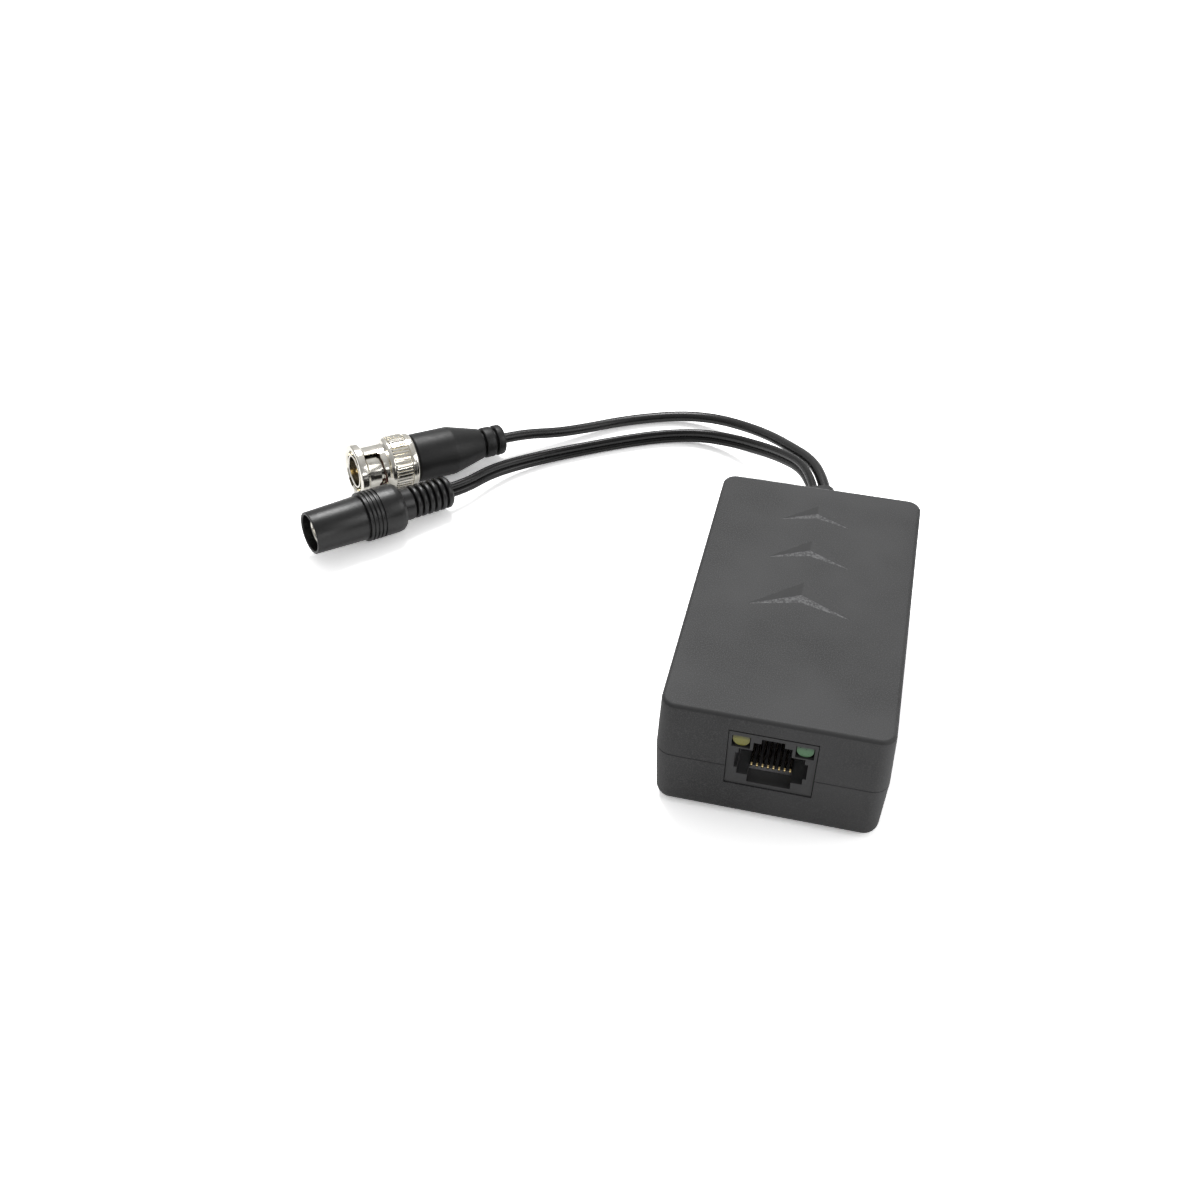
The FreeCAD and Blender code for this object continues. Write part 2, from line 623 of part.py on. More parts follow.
def upper_housing():
    """Cover with a rebate for the tongue, screw bosses under the roof and sunk chevrons."""
    body = new_body("upper_shell")
    height = S.housing_height - S.seam_height
    outer = shell_outline(body, "upper_outer", ZERO, S.seam_height)
    feature(body, "Pad", outer, height, draft=-S.upper_draft)
    top = S.housing_height.number - 0.01
    round_edges(body, "Fillet", "upper_edge", S.top_edge_radius, lambda box: box.ZMin > top)
    seam = S.seam_height.number
    round_edges(body, "Chamfer", "upper_seam", S.seam_groove, lambda box: box.ZMax < seam + 0.01)
    cavity = shell_outline(body, "upper_cavity", S.wall, S.seam_height)
    feature(body, "Pocket", cavity, height - S.floor_thickness, back=True, draft=-S.upper_draft)
    rebate = shell_outline(body, "upper_rebate", S.wall - S.lip_thickness - S.lip_clearance, S.seam_height)
    feature(body, "Pocket", rebate, S.lip_height + S.lip_clearance, back=True)
    bosses = circles(body, "upper_bosses", S.seam_height + S.boss_gap, BOSSES, S.boss_radius)
    feature(body, "Pad", bosses, height - S.floor_thickness / 2 - S.boss_gap)
    pilots = circles(body, "upper_pilots", S.seam_height, BOSSES, S.screw_radius + S.screw_pilot_clearance)
    reach = S.screw_recess_depth + S.screw_length - S.seam_height + 1
    feature(body, "Pocket", pilots, reach, back=True)
    wall_openings(body, "upper", S.seam_height - 1, JACK_TOP + S.jack_top_gap)
    chevrons = [
        chevron_cutter(1.0, S.chevron_front_y.number),
        chevron_cutter(S.chevron_middle_scale.number, S.chevron_middle_y.number),
        chevron_cutter(S.chevron_rear_scale.number, S.chevron_rear_y.number),
    ]
    cutters = shaped("chevron_cutters", Part.makeCompound(chevrons))
    return cut("upper_housing", body, cutters)


def screw_shape(shank_radius, shank_length, head_radius, head_height):
    """A pan head screw, head down, seat at z = 0, with a cross recess and a pointed end."""
    head = Part.makeCylinder(head_radius, head_height, Vector(0, 0, -head_height))
    rim = [edge for edge in head.Edges if edge.BoundBox.ZMax < -head_height + 0.01]
    head = head.makeFillet(head_height * 0.4, rim)
    point = shank_radius
    shank = Part.makeCylinder(shank_radius, shank_length - point)
    tip = Part.makeCone(shank_radius, shank_radius * 0.3, point, Vector(0, 0, shank_length - point))
    screw = head.fuse([shank, tip])
    span = head_radius * 1.3
    for long_side, short_side in ((span, S.drive_width.number), (S.drive_width.number, span)):
        slot = Part.makeBox(
            long_side,
            short_side,
            S.drive_depth.number,
            Vector(-long_side / 2, -short_side / 2, -head_height),
        )
        screw = screw.cut(slot)
    return screw.removeSplitter()


def housing_screws():
    screw = screw_shape(
        S.screw_radius.number,
        S.screw_length.number,
        S.screw_head_radius.number,
        S.screw_head_height.number,
    )
    copies = []
    for across, along in BOSSES:
        copy = screw.copy()
        copy.translate(Vector(across.number, along.number, S.screw_recess_depth.number))
        copies.append(copy)
    return shaped("housing_screws", Part.makeCompound(copies))


def board_screws():
    screw = screw_shape(
        S.board_screw_radius.number,
        S.board_screw_length.number,
        S.board_screw_head_radius.number,
        S.board_screw_head_height.number,
    )
    screw.rotate(Vector(0, 0, 0), Vector(1, 0, 0), 180)
    copies = []
    for across, along in SCREW_POSTS:
        copy = screw.copy()
        copy.translate(Vector(across.number, along.number, BOARD_TOP.number))
        copies.append(copy)
    return shaped("board_screws", Part.makeCompound(copies))


# Circuit board and its parts

def circuit_board():
    body = new_body("circuit_board")
    sketch = new_sketch(body, "XY_Plane", "board_outline", BOARD_BOTTOM)
    add_rectangle(
        sketch,
        -S.board_half_width,
        S.board_half_width,
        FRONT_INNER + S.board_end_gap,
        REAR_INNER - S.gland_flange_length - S.board_end_gap,
    )
    feature(body, "Pad", sketch, S.board_thickness)
    pegs = circles(body, "board_peg_holes", BOARD_BOTTOM, POSTS, S.peg_radius + S.board_hole_clearance)
    feature(body, "Pocket", pegs, S.board_thickness, back=True)
    screws = circles(
        body, "board_screw_holes", BOARD_BOTTOM, SCREW_POSTS, S.board_screw_radius + S.board_hole_clearance
    )
    feature(body, "Pocket", screws, S.board_thickness, back=True)
    jack = [(S.jack_peg_x, JACK_FRONT + S.jack_peg_y), (-S.jack_peg_x, JACK_FRONT + S.jack_peg_y)]
    holes = circles(body, "jack_peg_holes", BOARD_BOTTOM, jack, S.jack_peg_radius + S.board_hole_clearance)
    feature(body, "Pocket", holes, S.board_thickness, back=True)
    legs = circles(
        body, "leg_holes", BOARD_BOTTOM, [place for places in leg_places().values() for place in places],
        S.part_lead_radius + S.board_hole_clearance / 2,
    )
    feature(body, "Pocket", legs, S.board_thickness, back=True)
    return body


def leg_places():
    """Where each component's legs go through the board."""
    row = S.transformer_width / 2 - 1
    pitch = S.transformer_length / 2 - 1.6
    across = S.capacitor_length / 2 - 1.1
    reach = S.diode_length / 2 + 1.4
    return {
        "balun_transformer": [
            (side * row, S.transformer_y + step * pitch) for side in (-1, 1) for step in (-1, 0, 1)
        ],
        "power_choke": [(S.choke_x - S.choke_radius, S.choke_y), (S.choke_x + S.choke_radius, S.choke_y)],
        "resettable_fuse": [(S.fuse_x - 2.5, S.fuse_y), (S.fuse_x + 2.5, S.fuse_y)],
        "film_capacitor": [(S.capacitor_x - across, S.capacitor_y), (S.capacitor_x + across, S.capacitor_y)],
        "surge_diode": [(S.diode_x - reach, S.diode_y), (S.diode_x + reach, S.diode_y)],
    }


def legs(name, top):
    """Round legs from a component down through the board."""
    low = BOARD_BOTTOM.number - S.part_lead_length.number + S.board_thickness.number
    return [
        Part.makeCylinder(S.part_lead_radius.number, top - low, Vector(across.number, along.number, low))
        for across, along in leg_places()[name]
    ]


def balun_transformer():
    """Moulded pulse transformer with two rows of legs and a chamfered lid."""
    seat = BOARD_TOP.number + S.part_standoff.number
    size = Vector(S.transformer_width.number, S.transformer_length.number, S.transformer_height.number)
    corner = Vector(-size.x / 2, S.transformer_y.number - size.y / 2, seat)
    body = Part.makeBox(size.x, size.y, size.z, corner)
    rim = [edge for edge in body.Edges if edge.BoundBox.ZMin > seat + size.z - 0.01]
    body = body.makeChamfer(0.6, rim)
    mark = Part.makeCylinder(0.7, 1, corner + Vector(1.9, 1.9, size.z - 0.2))
    return shaped("balun_transformer", body.cut(mark).fuse(legs("balun_transformer", seat + 0.5)))


def power_choke():
    """Ring core lying on the board with its turns of wire as raised bands."""
    seat = BOARD_TOP.number + S.part_standoff.number
    band = 0.35
    centre = Vector(S.choke_x.number, S.choke_y.number, seat + S.choke_core_radius.number + band)
    ring = Part.makeTorus(S.choke_radius.number, S.choke_core_radius.number, centre)
    count = int(S.choke_turns.number)
    for turn in range(count):
        angle = 2 * math.pi * (turn + 0.5) / count
        out = Vector(math.cos(angle), math.sin(angle), 0)
        around = Vector(-out.y, out.x, 0)
        start = centre + out * S.choke_radius.number - around * 0.35
        coil = Part.makeCylinder(S.choke_core_radius.number + band, 0.7, start, around)
        ring = ring.fuse(coil)
    return shaped("power_choke", ring.fuse(legs("power_choke", centre.z)))


def resettable_fuse():
    """Upright disc on two legs."""
    radius, thick = S.fuse_radius.number, S.fuse_thickness.number
    centre_z = BOARD_TOP.number + S.part_standoff.number + radius
    disc = Part.makeCylinder(
        radius, thick, Vector(S.fuse_x.number, S.fuse_y.number - thick / 2, centre_z), Vector(0, 1, 0)
    )
    rims = [edge for edge in disc.Edges if edge.Curve.TypeId == "Part::GeomCircle"]
    disc = disc.makeFillet(thick * 0.3, rims)
    return shaped("resettable_fuse", disc.fuse(legs("resettable_fuse", centre_z)))


def film_capacitor():
    """Boxed capacitor with rounded upright edges on two legs."""
    seat = BOARD_TOP.number + S.part_standoff.number
    size = Vector(S.capacitor_length.number, S.capacitor_width.number, S.capacitor_height.number)
    corner = Vector(S.capacitor_x.number - size.x / 2, S.capacitor_y.number - size.y / 2, seat)
    box = Part.makeBox(size.x, size.y, size.z, corner)
    top_z = seat + size.z
    soft = [edge for edge in box.Edges if edge.BoundBox.ZLength > 1 or edge.BoundBox.ZMin > top_z - 0.01]
    return shaped("film_capacitor", box.makeFillet(0.5, soft).fuse(legs("film_capacitor", seat + 0.5)))


def surge_diode():
    """Axial diode with its wires bent down into the board."""
    seat = BOARD_TOP.number + S.part_standoff.number + S.diode_radius.number
    half = S.diode_length.number / 2
    centre = Vector(S.diode_x.number, S.diode_y.number, seat)
    axis = Vector(1, 0, 0)
    barrel = Part.makeCylinder(S.diode_radius.number, 2 * half, centre - axis * half, axis)
    (left, along), (right, _) = leg_places()["surge_diode"]
    ends = [Vector(end.number, along.number, seat) for end in (left, right)]
    wire = Part.makeCylinder(S.part_lead_radius.number, right.number - left.number, ends[0], axis)
    knees = [Part.makeSphere(S.part_lead_radius.number, end) for end in ends]
    return shaped("surge_diode", barrel.fuse([wire] + knees + legs("surge_diode", seat)))


# RJ45 jack: local origin in the middle of its face's lower edge, +Y into the housing

def at_jack(item):
    return place(item, ZERO, JACK_FRONT, BOARD_TOP)


def jack_housing():
    """Block with the stepped plug cavity, contact recess, lamp pockets, rear pocket and pegs."""
    body = new_body("jack_housing")
    half = S.jack_width / 2
    block = new_sketch(body, "XZ_Plane", "jack_block")
    add_rectangle(block, -half, half, ZERO, S.jack_height)
    feature(body, "Pad", block, S.jack_depth, back=True)
    mouth = new_sketch(body, "XZ_Plane", "jack_mouth")
    right = [
        (S.plug_half_width, S.plug_floor),
        (S.plug_half_width, S.rail_floor),
        (S.rail_half_width, S.rail_floor),
        (S.rail_half_width, S.rail_roof),
        (S.plug_half_width, S.rail_roof),
        (S.plug_half_width, S.plug_roof),
        (S.latch_half_width, S.plug_roof),
        (S.latch_half_width, S.latch_roof),
        (S.latch_notch_half_width, S.latch_roof),
        (S.latch_notch_half_width, S.latch_notch_roof),
    ]
    add_outline(mouth, right + [(-across, up) for across, up in reversed(right)])
    feature(body, "Pocket", mouth, S.plug_depth)
    comb = new_sketch(body, "XZ_Plane", "jack_comb")
    add_rectangle(comb, -S.comb_half_width, S.comb_half_width, S.comb_floor, S.plug_floor + 0.5)
    feature(body, "Pocket", comb, S.plug_depth)
    for side, name in ((-1, "left"), (1, "right")):
        pocket = new_sketch(body, "XZ_Plane", f"lamp_pocket_{name}")
        inner, outer = side * S.lamp_pocket_inner, side * (S.lamp_pocket_inner + S.lamp_pocket_width)
        low, high = S.lamp_pocket_floor, S.lamp_pocket_floor + S.lamp_pocket_height
        add_rectangle(pocket, inner, outer, low, high)
        feature(body, "Pocket", pocket, S.lamp_recess + S.lamp_length + S.lamp_gap)
    rear = new_sketch(body, "XZ_Plane", "jack_rear", -S.jack_depth)
    wide = S.carrier_half_width + S.carrier_gap
    add_rectangle(rear, -wide, wide, ZERO, S.carrier_floor + S.carrier_height + S.carrier_gap)
    feature(body, "Pocket", rear, S.jack_depth - S.plug_depth, back=True)
    pegs = new_sketch(body, "XY_Plane", "jack_pegs")
    for side in (-1, 1):
        add_circle(pegs, side * S.jack_peg_x, S.jack_peg_y, S.jack_peg_radius)
    feature(body, "Pad", pegs, S.jack_peg_length, back=True)
    return at_jack(body)


def jack_contact_carrier():
    """Insert behind the plug cavity with a tongue under the contacts."""
    body = new_body("jack_contact_carrier")
    profile = new_sketch(body, "YZ_Plane", "carrier_profile", -S.carrier_half_width)
    start = S.plug_depth + S.carrier_gap
    top = S.carrier_floor + S.carrier_height
    add_rectangle(profile, start, start + S.carrier_length, S.carrier_floor, top)
    feature(body, "Pad", profile, 2 * S.carrier_half_width)
    tongue_half = S.comb_half_width - S.carrier_gap
    tongue = new_sketch(body, "YZ_Plane", "carrier_tongue", -tongue_half)
    add_rectangle(
        tongue,
        S.comb_depth + S.tongue_gap,
        start + 1,
        S.comb_floor + S.carrier_gap,
        S.tongue_top,
    )
    feature(body, "Pad", tongue, 2 * tongue_half)
    slots = new_sketch(body, "XZ_Plane", "carrier_slots", -start)
    low, high = S.contact_rise - 2.6, S.contact_rise + 1.2
    add_rectangle(slots, -S.comb_half_width, S.comb_half_width, low, high)
    feature(body, "Pocket", slots, as_dim(1.2))
    return at_jack(body)


def jack_contact(number):
    """One spring wire: along the tongue, round a bend near the face, and back up into the cavity."""
    thick, width = S.contact_thickness.number, S.contact_width.number
    bend = S.contact_bend.number
    low = S.tongue_top.number
    rear = S.plug_depth.number + S.carrier_gap.number
    centre = Vector(0, S.contact_front.number + bend + thick, low + thick + bend)
    tip = Vector(0, S.contact_reach.number, S.contact_rise.number)
    reach = tip - centre
    tilt = math.atan2(reach.z, reach.y) - math.asin((bend + thick / 2) / reach.Length)
    rise = Vector(0, math.cos(tilt), math.sin(tilt))
    normal = Vector(0, -math.sin(tilt), math.cos(tilt))
    length = math.sqrt(reach.Length**2 - (bend + thick / 2) ** 2)
    outer, inner = bend + thick, bend
    down = Vector(0, 0, -1)
    front = Vector(0, -1, 0)
    start = centre + down * outer
    stop = centre + normal * outer
    points = [
        Part.makeLine(Vector(0, rear, low), start),
        Part.Arc(start, centre + front * outer, stop).toShape(),
        Part.makeLine(stop, stop + rise * length),
        Part.makeLine(stop + rise * length, centre + normal * inner + rise * length),
        Part.makeLine(centre + normal * inner + rise * length, centre + normal * inner),
        Part.Arc(centre + normal * inner, centre + front * inner, centre + down * inner).toShape(),
        Part.makeLine(centre + down * inner, Vector(0, rear, low + thick)),
        Part.makeLine(Vector(0, rear, low + thick), Vector(0, rear, low)),
    ]
    wire = Part.Face(Part.Wire(points)).extrude(Vector(width, 0, 0))
    across = (number - 4.5) * S.contact_pitch - S.contact_width / 2
    return place(shaped(f"jack_contact_{number}", wire), across, JACK_FRONT, BOARD_TOP)


def status_lamp(label, side):
    """Flat-topped lens with a rounded underside, in its pocket."""
    body = new_body(label)
    width = S.lamp_pocket_width - 2 * S.lamp_gap
    radius = width / 2
    top = S.lamp_pocket_floor + S.lamp_pocket_height - S.lamp_gap
    middle = side * (S.lamp_pocket_inner + S.lamp_pocket_width / 2)
    spring = S.lamp_pocket_floor + S.lamp_gap + radius
    sketch = new_sketch(body, "XZ_Plane", f"{label}_outline", -S.lamp_recess)
    centre = Vector(middle.number, spring.number, 0)
    circle = Part.Circle(centre, Vector(0, 0, 1), radius.number)
    bow = sketch.addGeometry(Part.ArcOfCircle(circle, math.pi, 2 * math.pi), False)
    right_low, left_low = centre + Vector(radius.number, 0, 0), centre - Vector(radius.number, 0, 0)
    right_top = Vector(right_low.x, top.number, 0)
    left_top = Vector(left_low.x, top.number, 0)
    sides = [
        sketch.addGeometry(Part.LineSegment(start, end), False)
        for start, end in ((right_low, right_top), (right_top, left_top), (left_top, left_low))
    ]
    chain = [bow] + sides
    for this, following in zip(chain, chain[1:] + chain[:1]):
        sketch.addConstraint(Sketcher.Constraint("Coincident", this, 2, following, 1))
    bind(sketch, "Radius", bow, radius)
    pin_point(sketch, bow, 3, middle, spring)
    pin_point(sketch, sides[0], 2, middle + radius, top)
    pin_point(sketch, sides[1], 2, middle - radius, top)
    sketch.addConstraint(Sketcher.Constraint("Horizontal", bow, 1, bow, 3))
    sketch.addConstraint(Sketcher.Constraint("Horizontal", bow, 3, bow, 2))
    feature(body, "Pad", sketch, S.lamp_length, back=True)
    return at_jack(body)


# Gland and leads

def cord_gland():
    """Moulded strain relief: inner flange, neck in the wall, collar and a grooved taper."""
    body = new_body("cord_gland")
    blocks = [
        ("gland_inner", REAR_INNER - S.gland_flange_length, S.gland_flange_length - S.gland_flange_gap,
         GLAND_NECK_HALF_WIDTH + S.gland_flange, GLAND_NECK_HALF_HEIGHT + S.gland_flange, 1.0),
        ("gland_neck", REAR_INNER - S.gland_flange_gap - 0.3, S.wall + S.gland_flange_gap + 0.6,
         GLAND_NECK_HALF_WIDTH, GLAND_NECK_HALF_HEIGHT, 0.4),
        ("gland_collar", HALF_LENGTH + S.gland_fit, S.gland_collar_length,
         S.gland_half_width + S.gland_collar, S.gland_half_height + S.gland_collar, 1.2),
    ]
    for name, start, length, half_width, half_height, corner in blocks:
        sketch = new_sketch(body, "XZ_Plane", name, -start)
        add_rounded_rectangle(sketch, half_width, half_height, as_dim(corner), ZERO, S.seam_height)
        feature(body, "Pad", sketch, length, back=True)
    base = new_sketch(body, "XZ_Plane", "gland_base", -(HALF_LENGTH + S.gland_fit))
    add_rounded_rectangle(
        base, S.gland_half_width, S.gland_half_height, S.gland_half_height * 0.6, ZERO, S.seam_height
    )
    tip = new_sketch(body, "XZ_Plane", "gland_tip", -GLAND_TIP_Y)
    lean = Rotation(Vector(0, 1, 0), S.gland_lean.number)
    tip.AttachmentOffset = Placement(Vector(0, 0, -GLAND_TIP_Y.number), lean)
    tip.setExpression("AttachmentOffset.Rotation.Angle", S.gland_lean.text)
    add_rounded_rectangle(
        tip,
        S.gland_tip_half_width,
        S.gland_tip_half_height,
        S.gland_tip_half_height * 0.6,
        S.gland_tip_shift,
        S.seam_height,
    )
    loft = body.newObject("PartDesign::AdditiveLoft", "gland_taper")
    loft.Profile = base
    loft.Sections = [tip]
    loft.Ruled = True
    groove = new_sketch(body, "XZ_Plane", "gland_groove", -(HALF_LENGTH + S.gland_collar_length + 1.2))
    wide = S.gland_half_width + 1
    high = S.gland_half_height + 1
    add_rounded_rectangle(groove, wide, high, as_dim(0.5), ZERO, S.seam_height)
    add_rounded_rectangle(
        groove,
        S.gland_tip_half_width - S.gland_core,
        S.gland_tip_half_height - S.gland_core,
        S.gland_tip_half_height * 0.5,
        S.gland_tip_shift / 2,
        S.seam_height,
    )
    first = feature(body, "Pocket", groove, S.gland_groove_width)
    pattern(
        body, "Linear", "gland_grooves", [first], "Y_Axis", S.gland_groove_count, pitch=S.gland_groove_pitch
    )
    return body


def rounded_path(points, share=0.45):
    """Straight runs joined by tangent arcs as large as each pair of runs allows."""
    points = [Vector(*point) for point in points]
    edges, radii = [], []
    last = points[0]
    for before, corner, after in zip(points, points[1:], points[2:]):
        inward, outward = corner - before, after - corner
        turn = inward.getAngle(outward)
        setback = share * min(inward.Length, outward.Length)
        start = corner - inward.normalize() * setback
        stop = corner + outward.normalize() * setback
        radius = setback / math.tan(turn / 2)
        to_centre = ((start + stop) * 0.5 - corner).normalize()
        middle = corner + to_centre * (math.hypot(radius, setback) - radius)
        edges.append(Part.makeLine(last, start))
        edges.append(Part.Arc(start, middle, stop).toShape())
        radii.append(radius)
        last = stop
    edges.append(Part.makeLine(last, points[-1]))
    return Part.Wire(edges), radii


def tube(label, points, diameter):
    path, radii = rounded_path(points)
    first = path.Edges[0]
    along = (first.Vertexes[1].Point - first.Vertexes[0].Point).normalize()
    ring = Part.Wire(Part.makeCircle(diameter / 2, first.Vertexes[0].Point, along))
    solid = path.makePipeShell([ring], True, False)
    expected = path.Length * math.pi * diameter**2 / 4
    print(
        f"{label}: length {path.Length:.1f}, tightest radius {min(radii):.1f}, "
        f"volume {solid.Volume:.1f} of {expected:.1f}"
    )
    return shaped(label, solid)


def connector_run(front, heading, tilt, length, straight):
    """A lead's last straight run, which ends at the rear of the connector on its axis."""
    axis = Vector(cosine(heading).number, sine(heading).number, 0) * cosine(tilt).number
    axis.z = -sine(tilt).number
    start = Vector(*[value.number for value in front])
    return [tuple(start + axis * reach) for reach in (length.number + straight, length.number)]


def gland_run(side, straight):
    """A lead's first straight run out of the gland; side is -1 for power and 1 for video."""
    across = S.gland_tip_shift.number + side * S.cord_spacing.number / 2
    lean = math.radians(S.gland_lean.number)
    return [
        (
            across * math.cos(lean) - reach * math.sin(lean),
            GLAND_TIP_Y.number + across * math.sin(lean) + reach * math.cos(lean),
            S.seam_height.number,
        )
        for reach in (0, straight)
    ]


BNC_UP = S.boot_radius * cosine(S.bnc_tilt) + S.boot_grip_end * sine(S.bnc_tilt) + S.floor_clearance
BNC_FRONT = (S.bnc_front_x, S.bnc_front_y, BNC_UP)
DC_UP = (
    S.dc_grip_radius * cosine(S.dc_tilt) + (S.dc_length - S.dc_grip_end) * sine(S.dc_tilt) + S.floor_clearance
)
DC_FRONT = (S.dc_front_x, S.dc_front_y, DC_UP)

VIDEO_ROUTE = [
    (-4.2, 63.8, 12.6),
    (-10.0, 71.4, 10.2),
    (-16.3, 79.2, 7.4),
    (-23.7, 85.7, 4.7),
    (-31.3, 89.7, 2.9),
    (-39.5, 90.6, 1.8),
    (-47.8, 88.0, 1.5),
    (-55.4, 84.0, 1.6),
    (-62.1, 79.0, 2.0),
    (-68.9, 73.6, 2.9),
]
POWER_ROUTE = [
    (-6.4, 61.2, 12.4),
    (-11.3, 67.7, 9.8),
    (-17.6, 74.5, 6.4),
    (-25.5, 80.1, 3.6),
    (-33.7, 82.3, 2.2),
    (-42.4, 80.3, 1.9),
    (-51.6, 75.6, 1.9),
    (-60.9, 69.9, 1.9),
    (-69.8, 63.7, 2.1),
    (-76.3, 57.6, 2.8),
    (-80.6, 51.7, 3.8),
]


def cords():
    """The two leads, each from the gland's tip to its connector."""
    bnc = connector_run(BNC_FRONT, S.bnc_heading, S.bnc_tilt, S.boot_length_end, 6.0)
    socket = connector_run(DC_FRONT, S.dc_heading, S.dc_tilt, S.dc_length, 4.8)
    video = gland_run(1, 6.0) + VIDEO_ROUTE + bnc
    power = gland_run(-1, 4.5) + POWER_ROUTE + socket
    return [
        tube("video_cord", video, S.video_cord_diameter.number),
        tube("power_cord", power, S.power_cord_diameter.number),
    ]


def tails():
    """Wires from the gland's inner flange down to the board."""
    start_y = REAR_INNER.number - S.gland_flange_length.number
    middle = S.seam_height.number
    board = BOARD_TOP.number
    wires = []
    for label, across, share in (
        ("video_tail", 2.2, 0.72), ("power_tail_positive", -0.8, 1.0), ("power_tail_negative", -3.0, 0.81)
    ):
        reach = S.tail_reach.number * share
        route = [
            (across, start_y, middle),
            (across, start_y - reach, middle),
            (across, start_y - reach, board),
        ]
        wires.append(tube(label, route, S.tail_diameter.number))
    return wires


# BNC plug: local +X runs from the coupling's front to the boot's end

def at_bnc(item):
    return place(item, *BNC_FRONT, S.bnc_heading, S.bnc_tilt)


def bayonet_cutters():
    """Entry groove, ramp and detent for one stud, and the same half a turn on."""
    width, narrow, wide = S.stud_width.number, S.ramp_width.number, S.detent_width.number
    floor = S.stud_groove_radius.number
    start, advance = S.ramp_start.number, S.ramp_advance.number
    sweep = S.ramp_angle.number
    inner, outer = S.outer_contact_radius.number + 0.4, S.coupling_ring_radius.number + 0.6
    groove = Part.makeBox(floor, width, start + narrow / 2 + 0.1, Vector(0, -width / 2, -0.1))
    helix = Part.makeHelix(advance * 360 / sweep, advance, (inner + outer) / 2)
    profile = Part.makePolygon(
        [
            Vector(inner, 0, -narrow / 2),
            Vector(outer, 0, -narrow / 2),
            Vector(outer, 0, narrow / 2),
            Vector(inner, 0, narrow / 2),
            Vector(inner, 0, -narrow / 2),
        ]
    )
    ramp = Part.Wire(helix).makePipeShell([profile], True, True)
    ramp.translate(Vector(0, 0, start))
    detent = Part.makeCylinder(
        wide / 2, outer - inner, Vector(inner, 0, start + advance - S.detent_step.number), Vector(1, 0, 0)
    )
    detent.rotate(Vector(0, 0, 0), Vector(0, 0, 1), sweep)
    one = groove.fuse([ramp, detent])
    inside = Part.makeCylinder(inner, start * 3, Vector(0, 0, -1))
    one = one.cut(inside)
    other = one.copy()
    other.rotate(Vector(0, 0, 0), Vector(0, 0, 1), 180)
    both = Part.makeCompound([one, other])
    both.rotate(Vector(0, 0, 0), Vector(0, 1, 0), 90)
    both.rotate(Vector(0, 0, 0), Vector(1, 0, 0), 180 - S.entry_angle.number + 90)
    return shaped("bayonet_cutters", both)


def bnc_coupling_sleeve():
    """Turned sleeve with rim, neck, fluted ring and bayonet slots; its lip holds it on the plug."""
    knurl_end = S.knurl_start + S.knurl_length
    groove = S.coupling_ring_radius - 0.25
    rear = S.coupling_length
    body = revolved(
        "coupling_blank",
        [
            (ZERO, S.coupling_bore + 0.35),
            (ZERO, S.coupling_rim_radius - 0.35),
            (as_dim(0.35), S.coupling_rim_radius),
            (S.coupling_rim_length, S.coupling_rim_radius),
            (S.coupling_rim_length + 0.35, S.coupling_rim_radius - 0.25),
            (S.coupling_neck_start, S.coupling_neck_radius),
            (S.coupling_shoulder, S.coupling_neck_radius),
            (S.coupling_shoulder + 0.4, S.coupling_ring_radius - 0.45),
            (S.coupling_shoulder + 1.0, S.coupling_ring_radius),
            (S.knurl_start, S.coupling_ring_radius),
            (S.knurl_start + 0.25, S.knurl_radius),
            (knurl_end - 0.25, S.knurl_radius),
            (knurl_end, groove),
            (knurl_end + 0.35, groove),
            (knurl_end + 0.5, S.coupling_ring_radius),
            (rear - 0.5, S.coupling_ring_radius),
            (rear, S.coupling_ring_radius - 0.5),
            (rear, S.lip_radius),
            (S.lip_start, S.lip_radius),
            (S.lip_start, S.coupling_chamber),
            (S.chamber_start, S.coupling_chamber),
            (S.chamber_start, S.coupling_bore),
            (as_dim(0.45), S.coupling_bore),
        ],
    )
    flute = new_sketch(body, "YZ_Plane", "knurl_flute", S.knurl_start)
    opening = S.knurl_depth * 1.1
    add_outline(
        flute,
        [
            (ZERO, S.knurl_radius - S.knurl_depth),
            (opening * 1.5, S.knurl_radius + S.knurl_depth * 0.5),
            (-opening * 1.5, S.knurl_radius + S.knurl_depth * 0.5),
        ],
    )
    first = feature(body, "Pocket", flute, S.knurl_length, back=True)
    pattern(body, "Polar", "knurl_flutes", [first], "X_Axis", S.knurl_count)
    return at_bnc(cut("bnc_coupling_sleeve", body, bayonet_cutters()))


def bnc_thrust_washer():
    front = S.lip_start - S.washer_gap - S.washer_thickness
    low, high = S.body_neck_radius + S.ring_clearance, S.coupling_chamber - S.ring_clearance
    back = front + S.washer_thickness
    return at_bnc(revolved("bnc_thrust_washer", [(front, low), (front, high), (back, high), (back, low)]))


